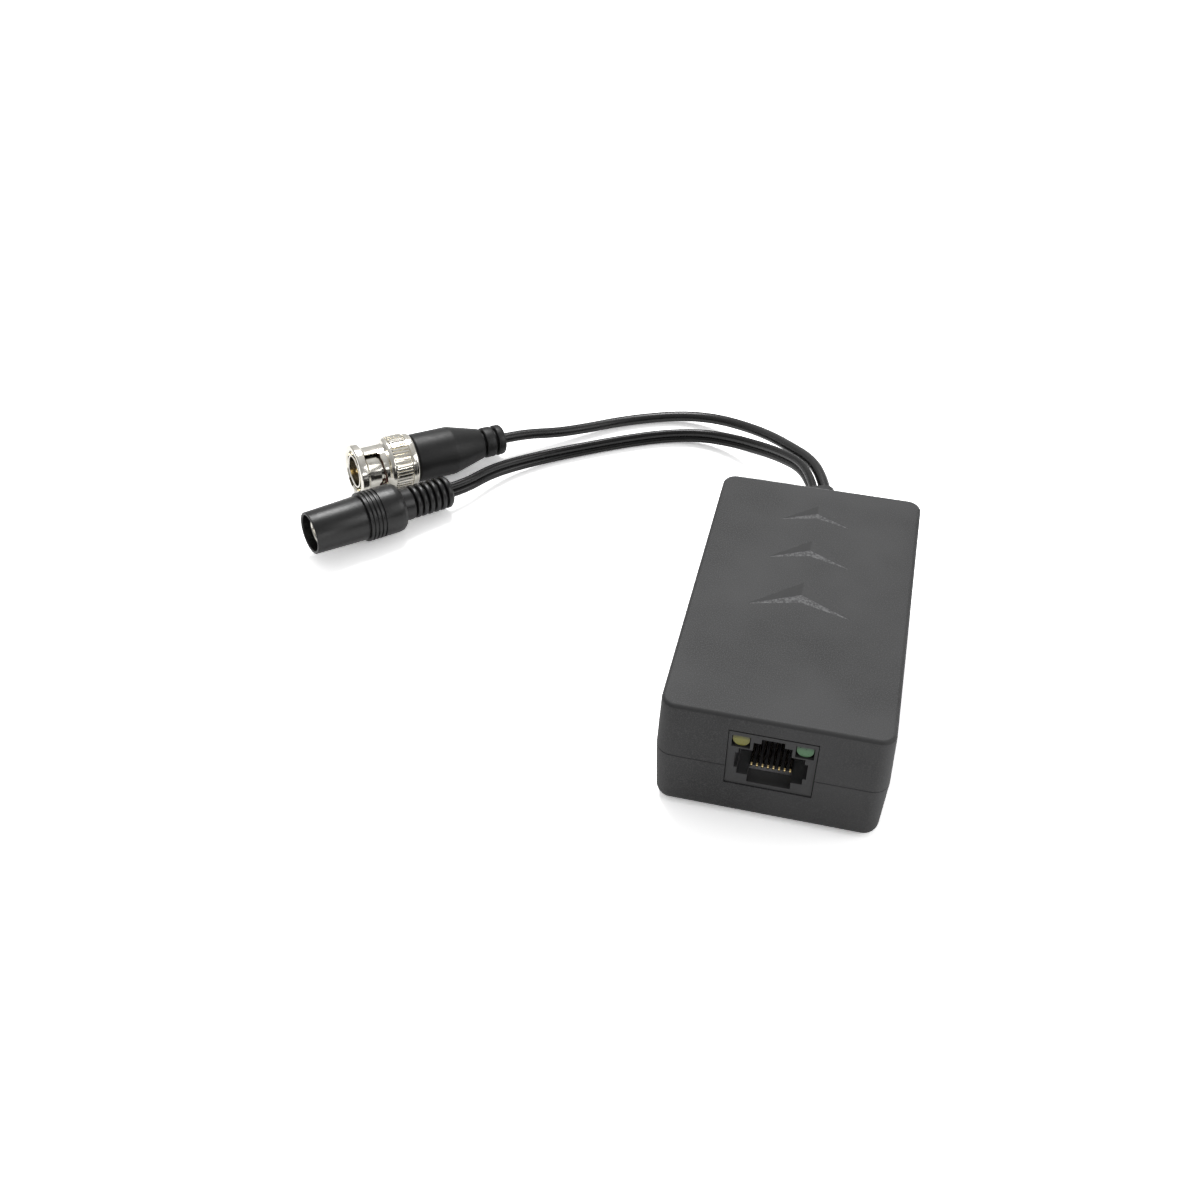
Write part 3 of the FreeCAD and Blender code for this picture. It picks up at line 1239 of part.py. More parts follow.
def bnc_wave_washer():
    """Ring of sheet metal that waves between the body's flange and the thrust washer."""
    gap = 0.05
    front = S.body_flange_end.number + gap
    back = (S.lip_start - S.washer_gap - S.washer_thickness).number - gap
    thick = S.wave_thickness.number
    low = (S.body_neck_radius + S.ring_clearance).number
    high = (S.coupling_chamber - S.ring_clearance).number
    middle, swing = (front + back) / 2, (back - front - thick) / 2
    steps = int(S.wave_count.number) * 8
    rings = []
    for radius in (low, high):
        for side in (-thick / 2, thick / 2):
            places = []
            for step in range(steps):
                angle = 2 * math.pi * step / steps
                along = middle + side + swing * math.cos(S.wave_count.number * angle)
                places.append(Vector(along, radius * math.cos(angle), radius * math.sin(angle)))
            curve = Part.BSplineCurve()
            curve.interpolate(places, PeriodicFlag=True)
            rings.append(curve.toShape())
    inner_front, inner_back, outer_front, outer_back = rings
    pairs = [
        (inner_front, outer_front),
        (outer_front, outer_back),
        (outer_back, inner_back),
        (inner_back, inner_front),
    ]
    shell = Part.makeShell([Part.makeRuledSurface(one, other).Faces[0] for one, other in pairs])
    solid = Part.makeSolid(shell)
    if solid.Volume < 0:
        solid.reverse()
    return at_bnc(shaped("bnc_wave_washer", solid))


def bnc_body():
    """Plug body: front seat for the outer contact, spring flange, and a barrel in the boot."""
    bore = S.outer_contact_radius + S.outer_contact_seat
    return at_bnc(
        revolved(
            "bnc_body",
            [
                (S.body_front, bore),
                (S.body_front, S.body_radius),
                (S.body_flange_start, S.body_radius),
                (S.body_flange_start, S.body_flange_radius),
                (S.body_flange_end, S.body_flange_radius),
                (S.body_flange_end, S.body_neck_radius),
                (S.body_end, S.body_neck_radius),
                (S.body_end, S.pin_radius + 0.9),
                (S.insulator_end, S.pin_radius + 0.9),
                (S.insulator_end, S.outer_contact_radius - S.outer_contact_wall),
                (S.outer_contact_end, S.outer_contact_radius - S.outer_contact_wall),
                (S.outer_contact_end, bore),
            ],
        )
    )


def bnc_outer_contact():
    """Thin tube that the mating barrel slides over, thicker where it sits in the gasket and body."""
    inner = S.outer_contact_radius - S.outer_contact_wall
    seat = S.outer_contact_radius + S.outer_contact_seat
    front = S.outer_contact_front
    return at_bnc(
        revolved(
            "bnc_outer_contact",
            [
                (front, inner + 0.12),
                (front, S.outer_contact_radius - 0.12),
                (front + 0.3, S.outer_contact_radius),
                (S.gasket_front, S.outer_contact_radius),
                (S.gasket_front, seat),
                (S.outer_contact_end, seat),
                (S.outer_contact_end, inner),
                (front + 0.3, inner),
            ],
        )
    )


def bnc_insulator():
    outer = S.outer_contact_radius - S.outer_contact_wall
    return at_bnc(
        revolved(
            "bnc_insulator",
            [
                (S.insulator_front, S.pin_radius),
                (S.insulator_front, outer - 0.2),
                (S.insulator_front + 0.2, outer),
                (S.insulator_end, outer),
                (S.insulator_end, S.pin_radius),
            ],
        )
    )


def bnc_centre_pin():
    return at_bnc(
        revolved(
            "bnc_centre_pin",
            [
                (S.pin_front, ZERO),
                (S.pin_front, S.pin_radius * 0.45),
                (S.pin_front + 0.35, S.pin_radius * 0.85),
                (S.pin_front + 0.9, S.pin_radius),
                (S.pin_end, S.pin_radius),
                (S.pin_end, ZERO),
            ],
        )
    )


def bnc_gasket():
    seat = S.outer_contact_radius + S.outer_contact_seat
    return at_bnc(
        revolved(
            "bnc_gasket",
            [
                (S.gasket_front, seat),
                (S.gasket_front, S.gasket_radius - 0.15),
                (S.gasket_front + 0.15, S.gasket_radius),
                (S.body_front, S.gasket_radius),
                (S.body_front, seat),
            ],
        )
    )


def bnc_boot():
    """Moulded boot: plain grip, taper and two end rings."""
    front = S.coupling_length + S.boot_gap
    ring = S.boot_taper_end + S.boot_groove_width
    last = ring + S.boot_ring_length + S.boot_groove_width
    return at_bnc(
        revolved(
            "bnc_boot",
            [
                (front, S.body_neck_radius),
                (front, S.boot_radius - 0.3),
                (front + 0.3, S.boot_radius),
                (S.boot_grip_end, S.boot_radius),
                (S.boot_taper_end, S.boot_taper_radius),
                (S.boot_taper_end, S.boot_groove_radius),
                (ring, S.boot_groove_radius),
                (ring, S.boot_ring_radius),
                (ring + S.boot_ring_length, S.boot_ring_radius),
                (ring + S.boot_ring_length, S.boot_groove_radius),
                (last, S.boot_groove_radius),
                (last, S.boot_ring_radius),
                (S.boot_length_end - 0.6, S.boot_ring_radius),
                (S.boot_length_end, S.boot_ring_radius - 0.6),
                (S.boot_length_end, ZERO),
                (S.body_end, ZERO),
                (S.body_end, S.body_neck_radius),
            ],
        )
    )


# DC socket: local +X runs from the mouth to the strain relief's end

def at_dc(item):
    return place(item, *DC_FRONT, S.dc_heading, S.dc_tilt)


def from_rear(reach):
    """A station of the socket that keeps its distance from the rear end."""
    return S.dc_length - reach


def grooved(start, pitch, count, width, depth, radius):
    """Corners of a row of square grooves in a turned outline."""
    corners = []
    for step in range(int(count.number)):
        edge = start + step * pitch
        corners += [
            (edge, radius),
            (edge, radius - depth),
            (edge + width, radius - depth),
            (edge + width, radius),
        ]
    return corners


def dc_overmould():
    """Moulded socket body: slightly conical front, grooved grip, neck and ribbed strain relief."""
    step, grip_start, first_ring = (
        from_rear(reach) for reach in (S.dc_cone_end, S.dc_grip_start, S.dc_ring_start)
    )
    grip_end, shoulder_end, first_rib = (
        from_rear(reach) for reach in (S.dc_grip_end, S.dc_shoulder_end, S.dc_rib_start)
    )
    profile = [
        (ZERO, S.dc_mouth_bore + 0.15),
        (ZERO, S.dc_mouth_radius - 0.25),
        (as_dim(0.25), S.dc_mouth_radius),
        (step, S.dc_cone_radius),
        (step, S.dc_cone_radius - 0.15),
        (grip_start, S.dc_cone_radius - 0.15),
        (grip_start, S.dc_grip_radius),
    ]
    profile += grooved(
        first_ring, S.dc_ring_pitch, S.dc_ring_count, S.dc_ring_width, S.dc_ring_depth, S.dc_grip_radius
    )
    rise = S.dc_grip_radius - S.dc_shoulder_radius
    run = shoulder_end - grip_end
    profile += [
        (grip_end, S.dc_grip_radius),
        (grip_end + run * 0.5, S.dc_grip_radius - rise * 0.13),
        (grip_end + run * 0.87, S.dc_grip_radius - rise * 0.5),
        (shoulder_end, S.dc_shoulder_radius),
        (shoulder_end, S.dc_neck_radius),
    ]
    profile += grooved(
        first_rib, S.dc_rib_pitch, S.dc_rib_count, S.dc_rib_gap, S.dc_rib_depth, S.dc_neck_radius
    )
    insert_end = from_rear(S.dc_insert_end)
    profile += [
        (S.dc_length - 0.7, S.dc_neck_radius),
        (S.dc_length, S.dc_end_radius - 0.3),
        (S.dc_length, ZERO),
        (insert_end, ZERO),
        (insert_end, S.dc_mouth_bore),
        (as_dim(0.3), S.dc_mouth_bore),
    ]
    return at_dc(revolved("dc_overmould", profile))


def dc_insert():
    """Hard insert in the mouth with the bore that guides the mating barrel."""
    sleeve, pin = S.dc_bore + S.dc_contact_wall, S.dc_pin_radius + S.dc_pin_seat
    floor, flange, end = from_rear(S.dc_contact_end), from_rear(S.dc_pin_flange), from_rear(S.dc_insert_end)
    return at_dc(
        revolved(
            "dc_insert",
            [
                (S.dc_face_depth, sleeve),
                (S.dc_face_depth, S.dc_mouth_bore),
                (end, S.dc_mouth_bore),
                (end, pin + 0.5),
                (flange, pin + 0.5),
                (flange, pin),
                (floor, pin),
                (floor, sleeve),
            ],
        )
    )


def dc_outer_contact():
    sleeve = S.dc_bore + S.dc_contact_wall
    front, floor = S.dc_face_depth - 0.1, from_rear(S.dc_contact_end)
    return at_dc(
        revolved(
            "dc_outer_contact",
            [
                (front, S.dc_bore + 0.15),
                (front, sleeve),
                (floor, sleeve),
                (floor, S.dc_bore),
                (front + 0.25, S.dc_bore),
            ],
        )
    )


def dc_centre_pin():
    """Pin that is thicker in the insert's floor and flanged behind it."""
    seat = S.dc_pin_radius + S.dc_pin_seat
    floor, flange, end = from_rear(S.dc_contact_end), from_rear(S.dc_pin_flange), from_rear(S.dc_insert_end)
    return at_dc(
        revolved(
            "dc_centre_pin",
            [
                (S.dc_pin_front, ZERO),
                (S.dc_pin_front, S.dc_pin_radius * 0.5),
                (S.dc_pin_front + 0.5, S.dc_pin_radius),
                (floor, S.dc_pin_radius),
                (floor, seat),
                (flange, seat),
                (flange, seat + 0.5),
                (end, seat + 0.5),
                (end, ZERO),
            ],
        )
    )


# Build, check and write

def build():
    pieces = [lower_housing(), upper_housing(), housing_screws(), circuit_board(), board_screws()]
    pieces += [jack_housing(), jack_contact_carrier()]
    pieces += [jack_contact(number) for number in range(1, 9)]
    pieces += [status_lamp("status_lamp_left", -1), status_lamp("status_lamp_right", 1)]
    pieces += [balun_transformer(), power_choke(), resettable_fuse(), film_capacitor(), surge_diode()]
    pieces += [cord_gland()] + cords() + tails()
    pieces += [bnc_coupling_sleeve(), bnc_thrust_washer(), bnc_wave_washer(), bnc_body(), bnc_outer_contact()]
    pieces += [bnc_insulator(), bnc_centre_pin(), bnc_gasket(), bnc_boot()]
    pieces += [dc_overmould(), dc_insert(), dc_outer_contact(), dc_centre_pin()]
    doc.recompute()
    return pieces


def check(pieces):
    """Stop with a plain message if any object failed or any sub-part's shape is unsound."""
    failed = [item.Label for item in doc.Objects if {"Invalid", "Error"} & set(item.State)]
    if failed:
        raise SystemExit(f"objects that failed to compute: {failed}")
    for piece in pieces:
        if piece.Shape.isNull() or not piece.Shape.isValid() or not piece.Shape.Solids:
            raise SystemExit(f"{piece.Label} has no sound solid")
        if min(solid.Volume for solid in piece.Shape.Solids) <= 0:
            raise SystemExit(f"{piece.Label} has a solid with no volume")


def write(pieces):
    os.makedirs("parts", exist_ok=True)
    for piece in pieces:
        piece.Shape.exportStep(os.path.join("parts", f"{piece.Label}.step"))
    print(f"{len(pieces)} nodes written")


made = build()
check(made)
write(made)
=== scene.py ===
"""Looks of the CCTV video balun: housing, RJ45 jack, moulded leads, BNC plug and DC socket."""

import math

import bmesh
import bpy
from mathutils import Matrix, Vector


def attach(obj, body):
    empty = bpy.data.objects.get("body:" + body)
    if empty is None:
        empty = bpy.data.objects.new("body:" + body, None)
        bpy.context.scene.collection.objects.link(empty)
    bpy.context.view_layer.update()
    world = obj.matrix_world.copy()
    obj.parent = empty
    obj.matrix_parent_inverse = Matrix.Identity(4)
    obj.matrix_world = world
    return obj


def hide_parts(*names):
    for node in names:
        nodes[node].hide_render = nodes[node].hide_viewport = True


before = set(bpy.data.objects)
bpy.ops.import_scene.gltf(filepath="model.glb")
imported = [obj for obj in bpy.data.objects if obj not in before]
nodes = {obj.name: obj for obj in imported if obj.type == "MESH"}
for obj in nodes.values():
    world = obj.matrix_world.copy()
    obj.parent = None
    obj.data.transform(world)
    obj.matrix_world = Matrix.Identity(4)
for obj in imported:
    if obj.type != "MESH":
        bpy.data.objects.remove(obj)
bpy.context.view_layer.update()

MM = 0.001

# Places, in millimetres, as in the part's source
HALF_LENGTH = 35.85
SEAM = 13.65
JACK_FRONT_Y = -35.45
JACK_BASE_Z = 9.0
GLAND_LENGTH = 14.0
GLAND_TIP_Y = HALF_LENGTH + GLAND_LENGTH
GLAND_TIP_SHIFT = -0.8
GLAND_LEAN = math.radians(14.0)
CORD_SPACING = 2.85
CONTACT_PITCH = 1.02

BNC_FRONT = Vector((-110.21, 39.0, 7.8415))
BNC_HEADING = math.radians(41.64)
BNC_TILT = math.radians(4.42)
BNC_LENGTH = 38.87
DC_FRONT = Vector((-111.5, 15.17, 7.319))
DC_HEADING = math.radians(46.87)
DC_TILT = math.radians(4.0)
DC_LENGTH = 35.39

# Bayonet slot: degrees on from the entry, front edge and rear edge of the ramp
ENTRY_ANGLE = math.radians(65.0)
RAMP_EDGES = [
    (-4, 4.3, 5.9),
    (10, 4.66, 6.0),
    (19, 5.12, 6.18),
    (40, 5.27, 6.36),
    (62, 5.25, 6.62),
    (85, 5.1, 6.9),
]


def connector_place(front, heading, tilt):
    """Local +X runs from the connector's front to its rear; the tilt raises the front."""
    turn = Matrix.Rotation(heading, 4, "Z") @ Matrix.Rotation(tilt, 4, "Y")
    return Matrix.Translation(front * MM) @ turn @ Matrix.Scale(MM, 4)


BNC = connector_place(BNC_FRONT, BNC_HEADING, BNC_TILT)
DC = connector_place(DC_FRONT, DC_HEADING, DC_TILT)
ROW = Matrix.Scale(MM, 4)
OWN = Matrix.Identity(4)


# Materials

class Finish:
    """A material whose colour, roughness and relief come from its own nodes."""

    def __init__(self, name, colour, roughness, metallic=0.0, **sockets):
        self.material = bpy.data.materials.new(name)
        self.material.use_nodes = True
        self.tree = self.material.node_tree
        self.shader = self.tree.nodes["Principled BSDF"]
        self.place = self.tree.nodes.new("ShaderNodeTexCoord").outputs["Object"]
        self.shader.inputs["Base Color"].default_value = (*colour, 1)
        self.shader.inputs["Roughness"].default_value = roughness
        self.shader.inputs["Metallic"].default_value = metallic
        for socket, value in sockets.items():
            self.shader.inputs[socket.replace("_", " ")].default_value = value
        self.height = None

    def node(self, kind, **values):
        made = self.tree.nodes.new(kind)
        for key, value in values.items():
            setattr(made, key, value)
        return made

    def link(self, source, target):
        self.tree.links.new(source, target)

    def turned(self, place):
        """Coordinates that follow a connector's own axis."""
        mapping = self.node("ShaderNodeMapping", vector_type="TEXTURE")
        mapping.inputs["Location"].default_value = place.to_translation()
        mapping.inputs["Rotation"].default_value = place.to_euler()
        self.link(self.place, mapping.inputs["Vector"])
        return mapping.outputs["Vector"]

    def stretched(self, factors, place):
        mapping = self.node("ShaderNodeMapping")
        mapping.inputs["Scale"].default_value = factors
        self.link(place, mapping.inputs["Vector"])
        return mapping.outputs["Vector"]

    def noise(self, scale, detail=2.0, roughness=0.5, place=None):
        made = self.node("ShaderNodeTexNoise")
        made.inputs["Scale"].default_value = scale
        made.inputs["Detail"].default_value = detail
        made.inputs["Roughness"].default_value = roughness
        self.link(place or self.place, made.inputs["Vector"])
        return made.outputs["Fac"]

    def ramp(self, factor, *stops):
        """Colours, or plain levels, at places along 0 to 1."""
        made = self.node("ShaderNodeValToRGB")
        band = made.color_ramp
        while len(band.elements) < len(stops):
            band.elements.new(0.5)
        for element, (where, value) in zip(band.elements, stops):
            element.position = where
            element.color = (*value, 1) if isinstance(value, tuple) else (value, value, value, 1)
        self.link(factor, made.inputs["Fac"])
        return made.outputs["Color"]

    def blend(self, factor, first, second):
        """From the first colour to the second as the factor goes from 0 to 1."""
        made = self.node("ShaderNodeMix", data_type="RGBA")
        for value, index in ((factor, 0), (first, 6), (second, 7)):
            if isinstance(value, bpy.types.NodeSocket):
                self.link(value, made.inputs[index])
            elif index == 0:
                made.inputs[0].default_value = value
            else:
                made.inputs[index].default_value = (*value, 1)
        return made.outputs[2]

    def math(self, kind, first, second=None):
        made = self.node("ShaderNodeMath", operation=kind)
        for index, value in enumerate((first, second)):
            if value is None:
                continue
            if isinstance(value, bpy.types.NodeSocket):
                self.link(value, made.inputs[index])
            else:
                made.inputs[index].default_value = value
        return made.outputs[0]

    def axis(self, letter, place=None):
        made = self.node("ShaderNodeSeparateXYZ")
        self.link(place or self.place, made.inputs[0])
        return made.outputs[letter]

    def facing(self, letter):
        """One part of the surface's own direction, without smoothing."""
        return self.axis(letter, self.node("ShaderNodeNewGeometry").outputs["True Normal"])

    def spread(self, value, start, stop, low=0.0, high=1.0):
        """Map a value from its range to another, held at both ends."""
        made = self.node("ShaderNodeMapRange")
        for socket, number in zip(("From Min", "From Max", "To Min", "To Max"), (start, stop, low, high)):
            made.inputs[socket].default_value = number
        self.link(value, made.inputs["Value"])
        return made.outputs["Result"]

    def colour(self, socket):
        self.link(socket, self.shader.inputs["Base Color"])

    def roughen(self, factor, low, high):
        self.link(self.spread(factor, 0.0, 1.0, low, high), self.shader.inputs["Roughness"])

    def relief(self, factor, depth, strength=1.0):
        """Raise the surface by depth metres where factor is 1."""
        made = self.node("ShaderNodeBump")
        made.inputs["Strength"].default_value = strength
        made.inputs["Distance"].default_value = depth
        self.link(factor, made.inputs["Height"])
        if self.height is not None:
            self.link(self.height, made.inputs["Normal"])
        self.height = made.outputs["Normal"]
        self.link(self.height, self.shader.inputs["Normal"])


def grey(level):
    return (level, level, level * 1.02)


def housing_plastic():
    """Charcoal moulding: fine grain, faint smudges and a coarse pale strip on each chevron; painted shade
    darkens each chevron's forward-leaning facet and the other faces that lean towards the front.
    """
    skin = Finish("housing_plastic", grey(0.066), 0.6, Specular_IOR_Level=0.35)
    grain = skin.noise(4200, 3, 0.6)
    smudge = skin.noise(32, 3, 0.55)
    base = skin.ramp(smudge, (0.38, grey(0.025)), (0.6, grey(0.047)))
    speck = skin.ramp(grain, (0.46, 0.0), (0.66, 1.0))
    plain = skin.blend(speck, base, grey(0.066))
    # Painted shade: faces that lean towards the front, such as the chevrons' front-facing facets and the
    # rounded top front edge, get a darker grey (0.037), as if less light falls on them.
    painted_shade_slope = skin.math(
        "MULTIPLY",
        skin.math("LESS_THAN", skin.facing("Y"), -0.1),
        skin.math("GREATER_THAN", skin.facing("Z"), 0.25),
    )
    plain = skin.blend(painted_shade_slope, plain, grey(0.037))
    strip = skin.math(
        "MULTIPLY",
        skin.math("GREATER_THAN", skin.facing("Y"), 0.04),
        skin.math("GREATER_THAN", skin.facing("Z"), 0.95),
    )
    coarse = skin.noise(1700, 2, 0.7)
    pitted = skin.ramp(coarse, (0.4, grey(0.06)), (0.6, grey(0.14)))
    skin.colour(skin.blend(strip, plain, pitted))
    skin.roughen(grain, 0.48, 0.72)
    skin.relief(grain, 0.00004, 0.5)
    skin.relief(skin.math("MULTIPLY", strip, coarse), 0.00012, 0.7)
    return skin.material


def jack_plastic():
    """Matt face, dark walls just behind it, and painted light deeper in the plug cavity, where the walls turn
    pale to stand in for the light that barely gets in.
    """
    shell = Finish("jack_plastic", grey(0.044), 0.5, Specular_IOR_Level=0.35)
    depth = shell.axis("Y")
    inside = shell.spread(depth, (JACK_FRONT_Y + 0.02) * MM, (JACK_FRONT_Y + 0.35) * MM)
    # Painted light: from 1 mm to 12 mm behind the face, the cavity walls go from dark grey (0.05) to pale grey
    # (0.36).
    deep = shell.spread(depth, (JACK_FRONT_Y + 1.0) * MM, (JACK_FRONT_Y + 12.0) * MM)
    face = shell.ramp(shell.noise(220, 3), (0.3, grey(0.042)), (0.7, grey(0.052)))
    walls = shell.blend(deep, grey(0.05), grey(0.36))
    shell.colour(shell.blend(inside, face, walls))
    shell.roughen(shell.noise(900, 2), 0.42, 0.6)
    shell.relief(shell.noise(2600, 2), 0.00002, 0.4)
    return shell.material


def dull_black(name, level=0.02, roughness=0.55):
    """Plain dark plastic, slightly uneven."""
    dark = Finish(name, grey(level), roughness, Specular_IOR_Level=0.35)
    dark.colour(dark.ramp(dark.noise(400, 3), (0.3, grey(level * 0.85)), (0.7, grey(level * 1.2))))
    dark.roughen(dark.noise(1500, 2), roughness - 0.08, roughness + 0.1)
    dark.relief(dark.noise(3000, 2), 0.00002, 0.3)
    return dark.material


def moulded_black(name, place=None, level=0.018, gloss=0.4, scuffs=0.0, sheen=0.5):
    """Black vinyl with a faint bloom, fine grain and, where it is handled, pale scuffs."""
    skin = Finish(name, grey(level), gloss, Specular_IOR_Level=sheen)
    along = skin.turned(place) if place else None
    bloom = skin.noise(160, 4, 0.6, along)
    shade = skin.ramp(bloom, (0.3, grey(level * 0.8)), (0.72, grey(level * 1.35)))
    if scuffs:
        rubbed = skin.noise(330, 5, 0.72, along)
        shade = skin.blend(skin.spread(rubbed, 0.64, 0.76, 0.0, scuffs), shade, grey(0.16))
    skin.colour(shade)
    skin.roughen(skin.noise(700, 3, 0.65, along), gloss - 0.06, gloss + 0.16)
    skin.relief(skin.noise(2600, 2, 0.5, along), 0.000025, 0.4)
    return skin.material


def nickel_plate(name, place):
    """Bright plating with a warm tint, turning marks round the axis, fine wear and slight waviness."""
    plate = Finish(name, (0.8, 0.77, 0.7), 0.12, 1.0)
    along = plate.turned(place)
    marks = plate.noise(60, 3, 0.6, plate.stretched((70.0, 1.0, 1.0), along))
    wear = plate.noise(420, 4, 0.6, along)
    plate.colour(plate.ramp(wear, (0.28, (0.82, 0.785, 0.7)), (0.62, (0.96, 0.935, 0.86))))
    plate.roughen(wear, 0.08, 0.2)
    plate.relief(plate.noise(150, 1, 0.4, along), 0.00002, 0.25)
    plate.relief(marks, 0.000002, 0.2)
    return plate.material


def gold_plate(name="gold_plate", shaded_from=None):
    """Warm plating; on the jack's wires, painted shade darkens the colour deeper in the cavity and towards each
    wire's sides, leaving a painted highlight along the top of their front bends.
    """
    plate = Finish(name, (0.86, 0.62, 0.22), 0.2, 1.0)
    wear = plate.noise(900, 3)
    shade = plate.ramp(wear, (0.3, (0.78, 0.56, 0.2)), (0.7, (0.92, 0.72, 0.36)))
    if shaded_from is not None:
        # Painted shade and painted highlight: behind the front bends and away from each wire's middle, the gold
        # turns to a dark brown-grey; only a narrow band along each wire's middle stays bright.
        deep = plate.spread(plate.axis("Y"), shaded_from * MM, (shaded_from + 0.35) * MM)
        across = plate.math("FRACT", plate.math("MULTIPLY", plate.axis("X"), 1 / (CONTACT_PITCH * MM)))
        side = plate.math("ABSOLUTE", plate.math("SUBTRACT", across, 0.5))
        painted_shade = plate.math("MAXIMUM", deep, plate.spread(side, 0.06, 0.15))
        shade = plate.blend(painted_shade, shade, (0.13, 0.115, 0.09))
    plate.colour(shade)
    plate.roughen(wear, 0.16, 0.32)
    plate.relief(plate.noise(2500, 2), 0.000004, 0.4)
    return plate.material


def plain_steel():
    steel = Finish("screw_steel", (0.56, 0.56, 0.58), 0.32, 1.0)
    wear = steel.noise(700, 3)
    steel.colour(steel.ramp(wear, (0.3, (0.48, 0.48, 0.5)), (0.7, (0.64, 0.64, 0.66))))
    steel.roughen(wear, 0.25, 0.42)
    steel.relief(steel.noise(2200, 2), 0.000005, 0.4)
    return steel.material


def lamp_lens(name, body, painted_shade_top):
    """Tinted lens, with painted shade that colours its top darker, as in the shadow of the overhang; frosted
    lower down.
    """
    lens = Finish(name, body, 0.3, Specular_IOR_Level=0.6)
    level = lens.spread(lens.axis("Z"), (JACK_BASE_Z + 9.9) * MM, (JACK_BASE_Z + 12.5) * MM)
    # Painted shade: the top of the lens turns to a darker tone of its tint.
    shade = lens.ramp(level, (0.6, body), (0.85, painted_shade_top))
    frosted = tuple(min(1, 1.25 * value) for value in body)
    lens.colour(lens.blend(lens.spread(lens.noise(900, 2), 0.3, 0.7, 0.0, 0.35), shade, frosted))
    lens.roughen(lens.noise(1400, 2), 0.2, 0.4)
    lens.relief(lens.noise(1800, 2), 0.00001, 0.3)
    return lens.material


def speckled(name, dark, light, roughness, scale=900.0, metallic=0.0):
    """Two close tones mixed by a fine noise, for the parts inside the housing."""
    skin = Finish(name, light, roughness, metallic)
    grain = skin.noise(scale, 3)
    skin.colour(skin.ramp(grain, (0.35, dark), (0.65, light)))
    skin.roughen(grain, roughness - 0.06, roughness + 0.1)
    skin.relief(grain, 0.00001, 0.4)
    return skin.material


# Mesh tools

def finished(name, mesh, finish, body, sharp=32.0):
    """Link a mesh as a piece that rides on a body, smooth but for its sharp edges."""
    mesh.name = name
    mesh.materials.clear()
    mesh.materials.append(finish)
    for face in mesh.polygons:
        face.use_smooth = True
        face.material_index = 0
    mesh.set_sharp_from_angle(angle=math.radians(sharp))
    piece = bpy.data.objects.new(name, mesh)
    bpy.context.scene.collection.objects.link(piece)
    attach(piece, body)
    return piece


def rounded_outline(corners, steps=4):
    """Corners are (along, out) or (along, out, radius); those with a radius become short arcs."""
    points = []
    count = len(corners)
    for index, corner in enumerate(corners):
        here = Vector(corner[:2])
        radius = corner[2] if len(corner) > 2 else 0.0
        if not radius:
            points.append(here)
            continue
        back = Vector(corners[index - 1][:2]) - here
        on = Vector(corners[(index + 1) % count][:2]) - here
        half = back.angle(on) / 2
        reach = min(radius / math.tan(half), back.length * 0.48, on.length * 0.48)
        true_radius = reach * math.tan(half)
        centre = here + (back.normalized() + on.normalized()).normalized() * (true_radius / math.sin(half))
        start, stop = here + back.normalized() * reach - centre, here + on.normalized() * reach - centre
        sweep = start.angle_signed(stop)
        for step in range(steps + 1):
            turn = -sweep * step / steps
            points.append(
                centre
                + Vector(
                    (
                        start.x * math.cos(turn) - start.y * math.sin(turn),
                        start.x * math.sin(turn) + start.y * math.cos(turn),
                    )
                )
            )
    return points


def turned_mesh(corners, place, segments=144):
    """Revolve a closed (along, radius) outline about the connector's axis."""
    outline = rounded_outline(corners)
    form = bmesh.new()
    rings = []
    for step in range(segments):
        angle = 2 * math.pi * step / segments
        rings.append(
            [
                form.verts.new((point.x, point.y * math.cos(angle), point.y * math.sin(angle)))
                for point in outline
            ]
        )
    count = len(outline)
    for step in range(segments):
        this, following = rings[step], rings[(step + 1) % segments]
        for index in range(count):
            after = (index + 1) % count
            if outline[index].y < 1e-6 and outline[after].y < 1e-6:
                continue
            form.faces.new((this[index], this[after], following[after], following[index]))
    bmesh.ops.remove_doubles(form, verts=form.verts, dist=1e-5)
    bmesh.ops.recalc_face_normals(form, faces=form.faces)
    bmesh.ops.transform(form, matrix=place, verts=form.verts)
    mesh = bpy.data.meshes.new("turned")
    form.to_mesh(mesh)
    form.free()
    return mesh


def lofted_mesh(rings, place=ROW):
    """Skin equal-length loops of points one after the other, with both ends filled."""
    form = bmesh.new()
    loops = [[form.verts.new(point) for point in ring] for ring in rings]
    count = len(loops[0])
    for this, following in zip(loops, loops[1:]):
        for index in range(count):
            after = (index + 1) % count
            form.faces.new((this[index], this[after], following[after], following[index]))
    form.faces.new(loops[0])
    form.faces.new(list(reversed(loops[-1])))
    bmesh.ops.recalc_face_normals(form, faces=form.faces)
    bmesh.ops.transform(form, matrix=place, verts=form.verts)
    mesh = bpy.data.meshes.new("lofted")
    form.to_mesh(mesh)
    form.free()
    return mesh


def applied(piece):
    """The evaluated mesh of an object, with the object itself removed."""
    bpy.context.view_layer.update()
    depsgraph = bpy.context.evaluated_depsgraph_get()
    mesh = bpy.data.meshes.new_from_object(piece.evaluated_get(depsgraph), depsgraph=depsgraph)
    bpy.data.objects.remove(piece)
    return mesh


def cut_mesh(mesh, cutters):
    """Take the cutters' volumes out of a mesh."""
    base = bpy.data.objects.new("base", mesh)
    bpy.context.scene.collection.objects.link(base)
    tools = []
    for cutter in cutters:
        tool = bpy.data.objects.new("tool", cutter)
        bpy.context.scene.collection.objects.link(tool)
        step = base.modifiers.new("cut", "BOOLEAN")
        step.operation = "DIFFERENCE"
        step.solver = "EXACT"
        step.object = tool
        tools.append(tool)
    result = applied(base)
    for tool in tools:
        bpy.data.objects.remove(tool)
    return result


# Geometry Nodes: rows and rings of like details

